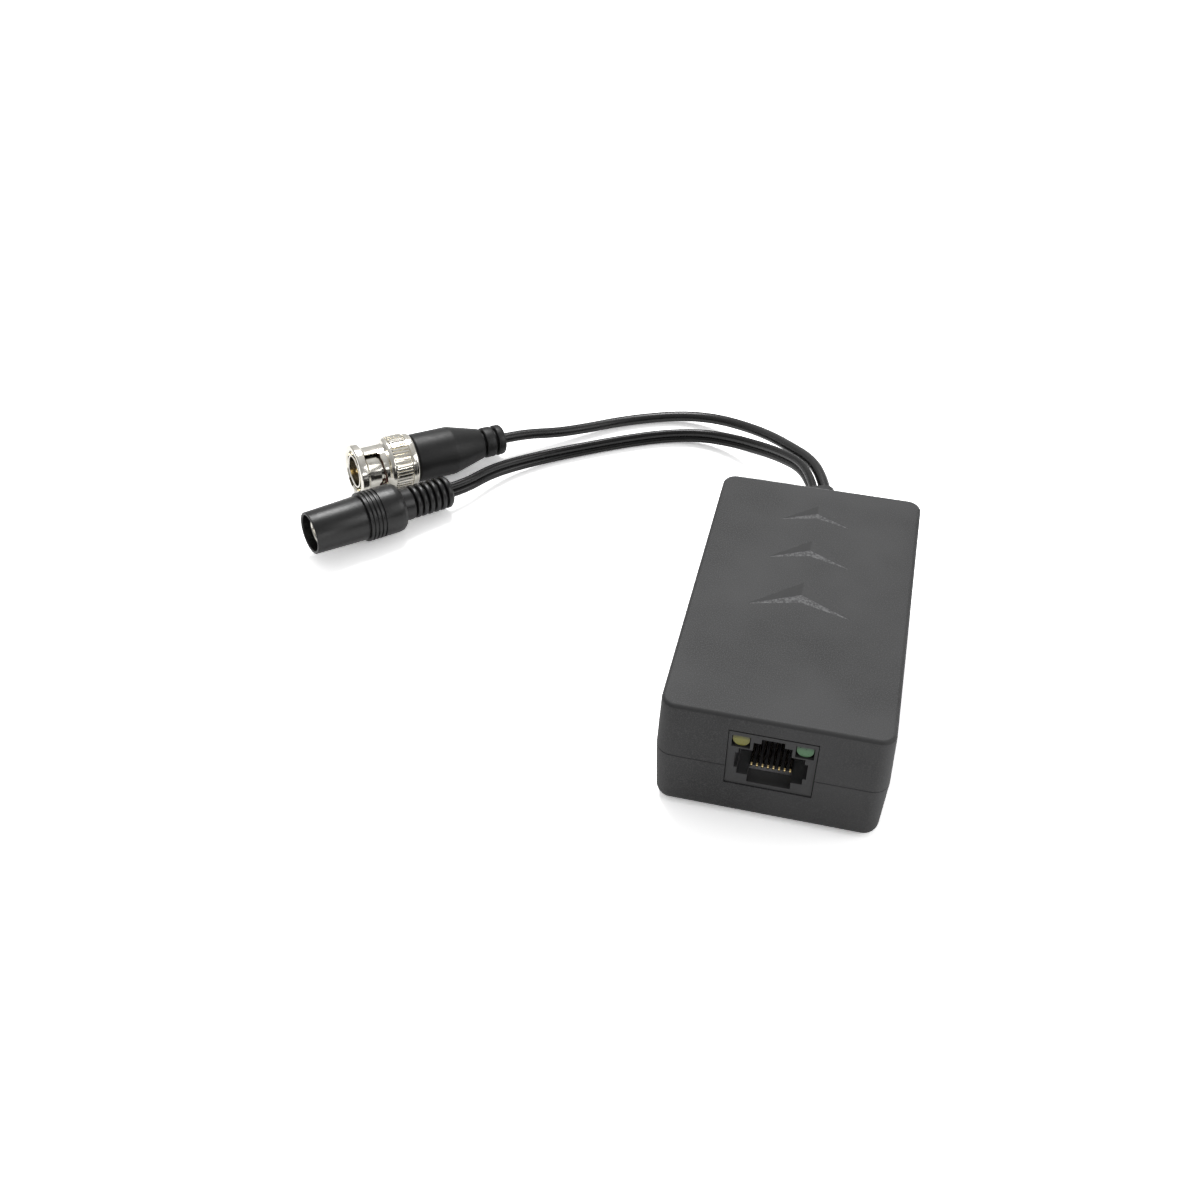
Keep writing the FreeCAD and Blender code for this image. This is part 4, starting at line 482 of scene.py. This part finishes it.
def repeat_tree(name, ring):
    """Instances of a source mesh round the local X axis, or in a row along it, joined into one mesh."""
    tree = bpy.data.node_groups.new(name, "GeometryNodeTree")
    face = tree.interface
    face.new_socket("Source", in_out="INPUT", socket_type="NodeSocketObject")
    face.new_socket("Count", in_out="INPUT", socket_type="NodeSocketInt")
    face.new_socket("Radius" if ring else "Pitch", in_out="INPUT", socket_type="NodeSocketFloat")
    face.new_socket("Finish", in_out="INPUT", socket_type="NodeSocketMaterial")
    face.new_socket("Mesh", in_out="OUTPUT", socket_type="NodeSocketGeometry")
    nodes_of, link = tree.nodes, tree.links.new
    given = nodes_of.new("NodeGroupInput").outputs
    source = nodes_of.new("GeometryNodeObjectInfo")
    link(given["Source"], source.inputs["Object"])
    scatter = nodes_of.new("GeometryNodeInstanceOnPoints")
    link(source.outputs["Geometry"], scatter.inputs["Instance"])
    if ring:
        circle = nodes_of.new("GeometryNodeMeshCircle")
        link(given["Count"], circle.inputs["Vertices"])
        link(given["Radius"], circle.inputs["Radius"])
        upright = nodes_of.new("GeometryNodeTransform")
        upright.inputs["Rotation"].default_value = (0, math.pi / 2, 0)
        link(circle.outputs["Mesh"], upright.inputs["Geometry"])
        link(upright.outputs["Geometry"], scatter.inputs["Points"])
        index = nodes_of.new("GeometryNodeInputIndex")
        share = nodes_of.new("ShaderNodeMath")
        share.operation = "DIVIDE"
        link(index.outputs["Index"], share.inputs[0])
        link(given["Count"], share.inputs[1])
        turn = nodes_of.new("ShaderNodeMath")
        turn.operation = "MULTIPLY_ADD"
        turn.inputs[1].default_value = 2 * math.pi
        turn.inputs[2].default_value = math.pi
        link(share.outputs[0], turn.inputs[0])
        spin = nodes_of.new("ShaderNodeCombineXYZ")
        link(turn.outputs[0], spin.inputs["X"])
        link(spin.outputs["Vector"], scatter.inputs["Rotation"])
    else:
        step = nodes_of.new("ShaderNodeCombineXYZ")
        link(given["Pitch"], step.inputs["X"])
        line = nodes_of.new("GeometryNodeMeshLine")
        link(given["Count"], line.inputs["Count"])
        link(step.outputs["Vector"], line.inputs["Offset"])
        link(line.outputs["Mesh"], scatter.inputs["Points"])
    real = nodes_of.new("GeometryNodeRealizeInstances")
    link(scatter.outputs["Instances"], real.inputs["Geometry"])
    paint = nodes_of.new("GeometryNodeSetMaterial")
    link(real.outputs["Geometry"], paint.inputs["Geometry"])
    link(given["Finish"], paint.inputs["Material"])
    link(paint.outputs["Geometry"], nodes_of.new("NodeGroupOutput").inputs["Mesh"])
    return tree


def repeated(tree, unit, place, finish, **sizes):
    """One plain mesh of a repeated unit mesh, put in its place."""
    source = bpy.data.objects.new("unit", unit)
    carrier = bpy.data.objects.new("carrier", bpy.data.meshes.new("carrier"))
    for item in (source, carrier):
        bpy.context.scene.collection.objects.link(item)
    modifier = carrier.modifiers.new("repeat", "NODES")
    modifier.node_group = tree
    given = {item.name: item.identifier for item in tree.interface.items_tree if item.in_out == "INPUT"}
    modifier[given["Source"]] = source
    modifier[given["Finish"]] = finish
    for name, value in sizes.items():
        modifier[given[name.capitalize()]] = value
    mesh = applied(carrier)
    bpy.data.objects.remove(source)
    mesh.transform(place)
    return mesh


RING = repeat_tree("ring_of_parts", True)
ROW_OF = repeat_tree("row_of_parts", False)


# Finishes that several pieces share

HOUSING = housing_plastic()
JACK_SHELL = jack_plastic()
# Painted light: the black contact carrier is coloured a pale grey (0.22) to stand in for light in the plug
# cavity.
CARRIER_PAINTED_LIGHT = dull_black("carrier_plastic", 0.22)
NICKEL_BNC = nickel_plate("nickel_bnc", BNC)
NICKEL_DC = nickel_plate("nickel_dc", DC)
GOLD = gold_plate()
CONTACT_GOLD = gold_plate("contact_gold", JACK_FRONT_Y + 2.62)
STEEL = plain_steel()
VIDEO_JACKET = moulded_black("video_jacket", None, 0.01, 0.24)
TWIN_JACKET = moulded_black("twin_jacket", None, 0.005, 0.2, 0.0, 0.4)
BNC_BOOT = moulded_black("bnc_boot", BNC, 0.009, 0.4, 0.0, 0.4)
DC_BODY = moulded_black("dc_body", DC, 0.003, 0.3, 0.25, 0.55)
GLAND_RUBBER = moulded_black("gland_rubber", None, 0.02, 0.46)
DC_CORE = dull_black("dc_core", 0.01, 0.4)
INSULATOR = speckled("insulator", (0.09, 0.065, 0.03), (0.15, 0.11, 0.055), 0.45)
GASKET = speckled("gasket", (0.1, 0.026, 0.02), (0.17, 0.045, 0.034), 0.55)


# CAD solids that stay, with their finishes

def dress_cad():
    """Give each kept CAD solid its finish and clean shading; the chevrons keep their facets."""
    board = speckled("board_laminate", (0.012, 0.09, 0.035), (0.02, 0.14, 0.06), 0.32, 260)
    finishes = {
        "lower_housing": HOUSING,
        "upper_housing": HOUSING,
        "jack_housing": JACK_SHELL,
        "jack_contact_carrier": CARRIER_PAINTED_LIGHT,
        "circuit_board": board,
        "board_screws": STEEL,
        "housing_screws": STEEL,
        "balun_transformer": dull_black("component_black", 0.03, 0.4),
        "power_choke": speckled("choke_winding", (0.36, 0.12, 0.04), (0.62, 0.27, 0.1), 0.3, 700, 0.8),
        "resettable_fuse": speckled("component_amber", (0.55, 0.27, 0.02), (0.75, 0.43, 0.06), 0.3),
        "film_capacitor": speckled("component_grey", (0.42, 0.42, 0.39), (0.56, 0.56, 0.52), 0.4),
        "surge_diode": dull_black("diode_black", 0.025, 0.3),
        "video_tail": moulded_black("tail_video"),
        "power_tail_negative": moulded_black("tail_negative"),
        "power_tail_positive": speckled("tail_positive", (0.34, 0.012, 0.012), (0.5, 0.03, 0.03), 0.35),
        "bnc_thrust_washer": STEEL,
        "bnc_wave_washer": STEEL,
        "bnc_body": NICKEL_BNC,
        "bnc_outer_contact": NICKEL_BNC,
        "bnc_insulator": INSULATOR,
        "bnc_centre_pin": GOLD,
        "bnc_gasket": GASKET,
        "dc_insert": DC_CORE,
        "dc_outer_contact": NICKEL_DC,
        "dc_centre_pin": NICKEL_DC,
        "status_lamp_left": lamp_lens("lens_yellow", (0.21, 0.2, 0.03), (0.04, 0.038, 0.004)),
        "status_lamp_right": lamp_lens("lens_green", (0.07, 0.18, 0.08), (0.012, 0.04, 0.018)),
    }
    finishes.update({f"jack_contact_{number}": CONTACT_GOLD for number in range(1, 9)})
    for name, finish in finishes.items():
        solid = nodes[name]
        for slot in solid.material_slots:
            slot.material = finish
        for face in solid.data.polygons:
            face.use_smooth = name != "upper_housing" or face.normal.z < 0.95
        weld = solid.modifiers.new("weld", "WELD")
        weld.merge_threshold = 1e-6
        split = solid.modifiers.new("split", "EDGE_SPLIT")
        split.split_angle = math.radians(28)


# Leads

def connector_run(front, heading, tilt, length, straight):
    """A lead's last straight run, ending at the rear of its connector."""
    level = Vector((math.cos(heading), math.sin(heading), 0)) * math.cos(tilt)
    along = level - Vector((0, 0, math.sin(tilt)))
    return [front + along * (length + straight), front + along * length]


def gland_run(side, straight):
    """A lead's first straight run out of the gland's leaning tip."""
    across = GLAND_TIP_SHIFT + side * CORD_SPACING / 2
    along = Vector((math.cos(GLAND_LEAN), math.sin(GLAND_LEAN), 0))
    out = Vector((-math.sin(GLAND_LEAN), math.cos(GLAND_LEAN), 0))
    tip = Vector((0, GLAND_TIP_Y, SEAM)) + along * across
    return [tip, tip + out * straight]


VIDEO_ROUTE = [
    *gland_run(1, 6.0),
    (-4.2, 63.8, 12.6),
    (-10.0, 71.4, 10.2),
    (-16.3, 79.2, 7.4),
    (-23.7, 85.7, 4.7),
    (-31.3, 89.7, 2.9),
    (-39.5, 90.6, 1.8),
    (-47.8, 88.0, 1.5),
    (-55.4, 84.0, 1.6),
    (-62.1, 79.0, 2.0),
    (-68.9, 73.6, 2.9),
    *connector_run(BNC_FRONT, BNC_HEADING, BNC_TILT, BNC_LENGTH, 6.0),
]
POWER_ROUTE = [
    *gland_run(-1, 4.5),
    (-6.4, 61.2, 12.4),
    (-11.3, 67.7, 9.8),
    (-17.6, 74.5, 6.4),
    (-25.5, 80.1, 3.6),
    (-33.7, 82.3, 2.2),
    (-42.4, 80.3, 1.9),
    (-51.6, 75.6, 1.9),
    (-60.9, 69.9, 1.9),
    (-69.8, 63.7, 2.1),
    (-76.3, 57.6, 2.8),
    (-80.6, 51.7, 3.8),
    *connector_run(DC_FRONT, DC_HEADING, DC_TILT, DC_LENGTH, 4.8),
]


def route_curve(name, route, radius=0.0):
    """One smooth open NURBS spline through the lead's control points."""
    curve = bpy.data.curves.new(name, "CURVE")
    curve.dimensions = "3D"
    curve.resolution_u = 14
    curve.bevel_depth = radius * MM
    curve.bevel_resolution = 8
    curve.use_fill_caps = bool(radius)
    spline = curve.splines.new("NURBS")
    spline.points.add(len(route) - 1)
    for point, place in zip(spline.points, route):
        point.co = (*(Vector(place) * MM), 1)
    spline.order_u = 3
    spline.use_endpoint_u = True
    piece = bpy.data.objects.new(name, curve)
    bpy.context.scene.collection.objects.link(piece)
    return piece


def centreline(route):
    """Points along the route's own spline, in metres."""
    return [vertex.co.copy() for vertex in applied(route_curve("line", route)).vertices]


def video_lead():
    piece = route_curve("video_lead", VIDEO_ROUTE, 1.3)
    piece.data.materials.append(VIDEO_JACKET)
    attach(piece, "balun")
    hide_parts("video_cord")
    return piece


def twin_section(half_width=1.84, core=0.95, opening=158, steps=15):
    """Figure-eight outline of the two cores side by side, wide along its first axis."""
    middle = half_width - core
    points = []
    for side in (1, -1):
        for step in range(steps):
            angle = math.radians(-opening + 2 * opening * step / (steps - 1))
            points.append((side * (middle + core * math.cos(angle)), side * core * math.sin(angle)))
    return points


def twin_lead():
    """Flat twin lead swept along its route; it stands on edge and leans a little towards its socket."""
    path = centreline(POWER_ROUTE)
    section = twin_section()
    lengths = [0.0]
    for before, after in zip(path, path[1:]):
        lengths.append(lengths[-1] + (after - before).length)
    roll = [(0.0, 0), (0.6, 0), (0.85, -12), (1.0, -16)]
    rings = []
    for index, point in enumerate(path):
        ahead, behind = path[min(index + 1, len(path) - 1)], path[max(index - 1, 0)]
        along = (ahead - behind).normalized()
        level = along.cross(Vector((0, 0, 1))).normalized()
        upright = level.cross(along)
        share = lengths[index] / lengths[-1]
        low, high = next(pair for pair in zip(roll, roll[1:]) if share <= pair[1][0] + 1e-6)
        part = (share - low[0]) / (high[0] - low[0])
        turn = math.radians(low[1] + (high[1] - low[1]) * (3 - 2 * part) * part * part)
        wide = upright * math.cos(turn) - level * math.sin(turn)
        thin = along.cross(wide)
        rings.append([point + (wide * x + thin * y) * MM for x, y in section])
    piece = finished(
        "twin_lead", lofted_mesh(rings, Matrix.Identity(4)), TWIN_JACKET, "balun", 50
    )
    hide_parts("power_cord")
    return piece, path


# Gland

def rounded_loop(half_width, half_height, radius, middle, along, steps=6):
    """Points of a rounded rectangle that stands across the gland's line."""
    points = []
    for turn, (side, end) in enumerate([(1, 1), (-1, 1), (-1, -1), (1, -1)]):
        for step in range(steps + 1):
            angle = math.pi / 2 * (turn + step / steps)
            x = side * (half_width - radius) + radius * math.cos(angle)
            z = end * (half_height - radius) + radius * math.sin(angle)
            points.append(middle + along * x + Vector((0, 0, z)))
    return points


def gland():
    """Collar against the wall, then a leaning taper cut by slots that leave two webs in turn."""
    start, stop = 0.1, GLAND_LENGTH
    slot_start, slot_pitch, slot_width, slots = 3.2, 2.6, 1.0, 4

    def share_at(reach):
        return max(0.0, (reach - start) / (stop - start))

    def halves(share):
        return 4.3 - 1.2 * share, 3.3 - 0.8 * share

    def station(reach, half_width, half_height, radius):
        share = share_at(reach)
        turn = GLAND_LEAN * share
        middle = Vector((GLAND_TIP_SHIFT * share**1.5, HALF_LENGTH + reach, SEAM))
        return rounded_loop(
            half_width, half_height, radius, middle, Vector((math.cos(turn), math.sin(turn), 0))
        )

    def taper(reach, inset=0.0):
        half_width, half_height = (half - inset for half in halves(share_at(reach)))
        return station(reach, half_width, half_height, max(0.3, half_height * 0.62))

    rings = [
        station(start, 4.75, 3.75, 1.2),
        station(0.3, 5.0, 4.0, 1.3),
        station(1.8, 5.0, 4.0, 1.3),
        station(2.1, 4.75, 3.75, 1.2),
        station(2.1, 4.25, 3.25, 1.9),
    ]
    for number in range(slots):
        near = slot_start + slot_pitch * number
        far = near + slot_width
        rings += [taper(near - 0.15), taper(near, 0.15), taper(near, 1.1)]
        rings += [taper(far, 1.1), taper(far, 0.15), taper(far + 0.15)]
    rings += [taper(stop - 0.5), taper(stop - 0.15, 0.15), taper(stop, 0.5)]
    inner = [
        station(-3.6, 5.4, 4.4, 1.0),
        station(-2.35, 5.4, 4.4, 1.0),
        station(-2.35, 4.2, 3.2, 0.4),
        station(start, 4.2, 3.2, 0.4),
    ]
    body = bmesh.new()
    body.from_mesh(lofted_mesh(rings))
    body.from_mesh(lofted_mesh(inner))
    for number in range(slots):
        middle = slot_start + slot_pitch * number + slot_width / 2
        share = share_at(middle)
        centre = Vector((GLAND_TIP_SHIFT * share**1.5, HALF_LENGTH + middle, SEAM))
        half_width, half_height = halves(share)
        size = Vector((2 * half_width - 0.3, slot_width + 0.2, 2 * half_height - 0.3))
        if number % 2:
            size.x = 2.2
        else:
            size.z = 1.8
        lean = Matrix.Rotation(GLAND_LEAN * share, 4, "Z")
        web = Matrix.Translation(centre) @ lean @ Matrix.Diagonal((*size, 1))
        bmesh.ops.create_cube(body, size=1, matrix=ROW @ web)
    mesh = bpy.data.meshes.new("gland")
    body.to_mesh(mesh)
    body.free()
    piece = finished("gland", mesh, GLAND_RUBBER, "balun", 40)
    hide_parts("cord_gland")
    return piece


# BNC plug

def slot_cutter(half_turn):
    """Entry groove, ramp and round detent for one stud of the mating socket."""
    base = math.pi - ENTRY_ANGLE + half_turn
    inner, outer, groove_floor = 4.45, 7.3, 5.65
    neck_radius, groove_sides, groove_end, groove_steps = 5.33, (-0.93, 1.5), 5.55, 8
    detent_along, detent_radius, detent_reach = 5.76, 1.15, 5.6

    def place(along, radius, turn):
        angle = base + turn
        return (along, radius * math.cos(angle), radius * math.sin(angle))

    def swept(stations, top):
        rings = []
        for turn, low, high in stations:
            corners = (low, inner), (high, inner), (high, top), (low, top)
            rings.append([place(along, radius, turn) for along, radius in corners])
        return lofted_mesh(rings, OWN)

    edges = []
    for before, after in zip(RAMP_EDGES, RAMP_EDGES[1:]):
        for step in range(6):
            edges.append([low + (high - low) * step / 6 for low, high in zip(before, after)])
    edges.append(RAMP_EDGES[-1])
    ramp = swept([(math.radians(turn), low, high) for turn, low, high in edges], outer)
    start, stop = (side / neck_radius for side in groove_sides)
    turns = [start + (stop - start) * step / groove_steps for step in range(groove_steps + 1)]
    groove = swept([(turn, -1, groove_end) for turn in turns], groove_floor)
    far = math.radians(RAMP_EDGES[-1][0])
    rim = [2 * math.pi * step / 24 for step in range(24)]
    detent = lofted_mesh(
        [
            [
                place(detent_along + detent_radius * math.cos(angle), radius,
                      far + detent_radius / detent_reach * math.sin(angle))
                for angle in rim
            ]
            for radius in (inner, outer)
        ],
        OWN,
    )
    return [ramp, groove, detent]


def coupling_sleeve():
    """Nickel sleeve: front rim, slotted neck, shoulder, plain ring, fluted ring and rear rim."""
    profile = [
        (0, 5.2, 0.06),
        (0, 6.12, 0.1),
        (0.27, 6.39, 0.12),
        (1.75, 6.39, 0.2),
        (2.4, 5.33, 0.25),
        (7.35, 5.33, 0.3),
        (7.75, 6.1, 0.35),
        (8.3, 6.5, 0.25),
        (8.68, 6.5, 0.06),
        (8.8, 6.2, 0.04),
        (12.7, 6.2, 0.04),
        (12.75, 6.25, 0.04),
        (12.95, 6.25, 0.04),
        (13.05, 6.5, 0.14),
        (13.74, 6.5, 0.05),
        (13.8, 6.42),
        (13.86, 6.48, 0.05),
        (14.3, 6.45, 0.3),
        (14.75, 6.0, 0.2),
        (14.75, 4.45, 0.1),
        (13.3, 4.45, 0.05),
        (13.3, 5.55),
        (9.1, 5.55),
        (9.1, 4.88),
        (0.35, 4.88, 0.05),
    ]
    mesh = cut_mesh(turned_mesh(profile, OWN, 192), slot_cutter(0.0) + slot_cutter(math.pi))
    mesh.transform(BNC)
    sleeve = finished("coupling_sleeve", mesh, NICKEL_BNC, "sleeve", 30)
    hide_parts("bnc_coupling_sleeve")

    ridge = [(-0.31, -0.36), (-0.29, 0.12), (-0.2, 0.24), (0.2, 0.24), (0.29, 0.12), (0.31, -0.36)]
    unit = lofted_mesh(
        [
            [(along, across, out - (drop if out > 0 else 0)) for across, out in ridge]
            for along, drop in ((8.76, 0.2), (8.95, 0.0), (12.55, 0.0), (12.74, 0.2))
        ],
        OWN,
    )
    flutes = repeated(RING, unit, BNC, NICKEL_BNC, count=50, radius=6.5)
    finished("coupling_flutes", flutes, NICKEL_BNC, "sleeve", 20)


def bnc_mouldings():
    boot = [
        (15.0, 4.25),
        (15.0, 5.89, 0.4),
        (24.9, 5.89, 3.0),
        (32.95, 3.73, 0.3),
        (32.95, 2.9),
        (33.55, 2.9),
        (33.55, 3.77, 0.35),
        (36.12, 3.77, 0.35),
        (36.12, 2.9),
        (36.72, 2.9),
        (36.72, 3.77, 0.35),
        (38.87, 3.72, 0.8),
        (38.87, 0),
        (20.0, 0),
        (20.0, 4.25),
    ]
    piece = finished("plug_boot", turned_mesh(boot, BNC), BNC_BOOT, "balun", 35)
    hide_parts("bnc_boot")
    pin = [
        (0.65, 0),
        (0.65, 0.3, 0.12),
        (1.25, 0.62, 0.2),
        (1.7, 0.68, 0.3),
        (14.0, 0.68),
        (14.0, 0),
    ]
    piece = finished("plug_pin", turned_mesh(pin, BNC, 48), GOLD, "balun")
    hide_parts("bnc_centre_pin")
    tube = [
        (0.1, 3.62, 0.08),
        (0.1, 4.02, 0.12),
        (6.5, 4.02),
        (6.5, 4.22),
        (10.0, 4.22),
        (10.0, 3.57),
        (0.3, 3.57, 0.05),
    ]
    piece = finished("plug_outer_contact", turned_mesh(tube, BNC), NICKEL_BNC, "balun")
    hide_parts("bnc_outer_contact")


# DC socket

def dc_mouldings():
    """Conical front, grooved grip, neck, and a strain relief of round ribs on a thinner core."""
    grip, ring_floor = 5.84, 5.52
    body = [
        (0, 4.4, 0.12),
        (0, 4.93, 0.2),
        (12.46, 5.28, 0.1),
        (12.46, 5.12),
        (12.84, 5.12),
        (12.84, grip, 0.16),
    ]
    for number in range(4):
        near = 13.43 + 0.975 * number
        far = near + 0.38
        body += [(near, grip, 0.1), (near, ring_floor), (far, ring_floor), (far, grip, 0.1)]
    body += [
        (20.69, grip, 1.0),
        (21.59, 5.68, 0.6),
        (22.26, 5.22, 0.4),
        (22.49, 4.6, 0.2),
        (22.49, 3.91, 0.2),
        (25.19, 3.91, 0.25),
        (25.19, 2.95),
        (33.84, 2.95),
        (33.84, 3.91, 0.35),
        (34.8, 3.86, 0.3),
        (35.39, 3.34, 0.3),
        (35.39, 0),
        (13.99, 0),
        (13.99, 4.25),
        (0.3, 4.25, 0.1),
    ]
    piece = finished("socket_body", turned_mesh(body, DC), DC_BODY, "balun", 35)
    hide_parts("dc_overmould")
    rib = turned_mesh([(0, 2.7), (0, 3.91, 0.38), (1.13, 3.91, 0.38), (1.13, 2.7)], OWN, 96)
    place = DC @ Matrix.Translation((25.69, 0, 0))
    ribs = repeated(ROW_OF, rib, place, DC_BODY, count=5, pitch=1.63)
    finished("socket_ribs", ribs, DC_BODY, "balun", 35)


dress_cad()
gland()
round_cord = video_lead()
twin_cord, twin_path = twin_lead()
coupling_sleeve()
bnc_mouldings()
dc_mouldings()


# Studio

def rays(tree, *kinds):
    """1 for the named kinds of ray, from the Light Path node."""
    path = tree.nodes.new("ShaderNodeLightPath")
    total = path.outputs[kinds[0]]
    for kind in kinds[1:]:
        either = tree.nodes.new("ShaderNodeMath")
        either.operation = "MAXIMUM"
        tree.links.new(total, either.inputs[0])
        tree.links.new(path.outputs[kind], either.inputs[1])
        total = either.outputs[0]
    return total


def paper_floor():
    """White floor, brighter to the camera, that keeps the object's soft shadow also where metal mirrors it."""
    half = 3.0
    mesh = bpy.data.meshes.new("floor")
    corners = [(-half, -half, 0), (half, -half, 0), (half, half, 0), (-half, half, 0)]
    mesh.from_pydata(corners, [], [(0, 1, 2, 3)])
    floor = bpy.data.objects.new("floor", mesh)
    floor.location.z = -0.00005
    bpy.context.scene.collection.objects.link(floor)
    paper = bpy.data.materials.new("floor_paper")
    paper.use_nodes = True
    tree = paper.node_tree
    shader = tree.nodes["Principled BSDF"]
    tint = tree.nodes.new("ShaderNodeMix")
    tint.data_type = "RGBA"
    for socket, shade in ((tint.inputs[6], 0.8), (tint.inputs[7], 1.8)):
        socket.default_value = (shade, shade, shade, 1)
    tree.links.new(rays(tree, "Is Camera Ray"), tint.inputs[0])
    tree.links.new(tint.outputs[2], shader.inputs["Base Color"])
    shader.inputs["Roughness"].default_value = 0.9
    shader.inputs["Specular IOR Level"].default_value = 0.1
    shader.inputs["Emission Color"].default_value = (1, 1, 1, 1)
    seen = tree.nodes.new("ShaderNodeMath")
    seen.operation = "MULTIPLY"
    seen.inputs[1].default_value = 0.22
    tree.links.new(rays(tree, "Is Camera Ray", "Is Glossy Ray", "Is Transmission Ray"), seen.inputs[0])
    tree.links.new(seen.outputs[0], shader.inputs["Emission Strength"])
    mesh.materials.append(paper)


def surround():
    """White to the camera; to the object, pale overhead and dim towards the horizon."""
    world = bpy.data.worlds.new("surround")
    bpy.context.scene.world = world
    world.use_nodes = True
    tree = world.node_tree
    direction = tree.nodes.new("ShaderNodeTexCoord").outputs["Generated"]
    towards = tree.nodes.new("ShaderNodeVectorMath")
    towards.operation = "DOT_PRODUCT"
    towards.inputs[1].default_value = Vector((-0.25, 0.5, 0.85)).normalized()
    tree.links.new(direction, towards.inputs[0])
    sky = tree.nodes.new("ShaderNodeMapRange")
    sky.interpolation_type = "SMOOTHSTEP"
    for socket, number in zip(("From Min", "From Max", "To Min", "To Max"), (0.15, 1.0, 0.32, 0.62)):
        sky.inputs[socket].default_value = number
    tree.links.new(towards.outputs["Value"], sky.inputs["Value"])
    strength = tree.nodes.new("ShaderNodeMath")
    strength.operation = "MAXIMUM"
    tree.links.new(sky.outputs["Result"], strength.inputs[0])
    tree.links.new(rays(tree, "Is Camera Ray"), strength.inputs[1])
    background = tree.nodes["Background"]
    background.inputs["Color"].default_value = (1, 1, 1, 1)
    tree.links.new(strength.outputs[0], background.inputs["Strength"])


def softboxes():
    """One above and behind on the left, weaker ones on the right and low in front."""
    for name, place, size, power in (
        ("softbox", (-0.2, 0.45, 0.76), 0.34, 5.4),
        ("side_fill", (0.6, 0.0, 0.34), 0.45, 1.5),
        ("front_fill", (0.32, -0.3, 0.08), 0.2, 0.25),
    ):
        lamp = bpy.data.lights.new(name, "AREA")
        lamp.shape = "SQUARE"
        lamp.size = size
        lamp.energy = power
        holder = bpy.data.objects.new(name, lamp)
        holder.location = place
        aim = Vector((-0.03, 0.03, 0.0)) - Vector(place)
        holder.rotation_euler = aim.to_track_quat("-Z", "Y").to_euler()
        bpy.context.scene.collection.objects.link(holder)


def camera():
    """The photograph's viewpoint, in the object's own frame."""
    lens = bpy.data.cameras.new("camera")
    lens.sensor_width = 36
    lens.lens = 39.721
    lens.clip_start = 0.01
    holder = bpy.data.objects.new("camera", lens)
    right = Vector((0.97173, 0.236, 0.00668))
    up = Vector((-0.16237, 0.64747, 0.74459))
    turn = Matrix((right, up, right.cross(up))).transposed().to_4x4()
    holder.matrix_world = Matrix.Translation((0.006203, -0.196168, 0.196518)) @ turn
    bpy.context.scene.collection.objects.link(holder)
    bpy.context.scene.camera = holder


paper_floor()
surround()
softboxes()
camera()
bpy.context.scene.view_settings.view_transform = "Standard"
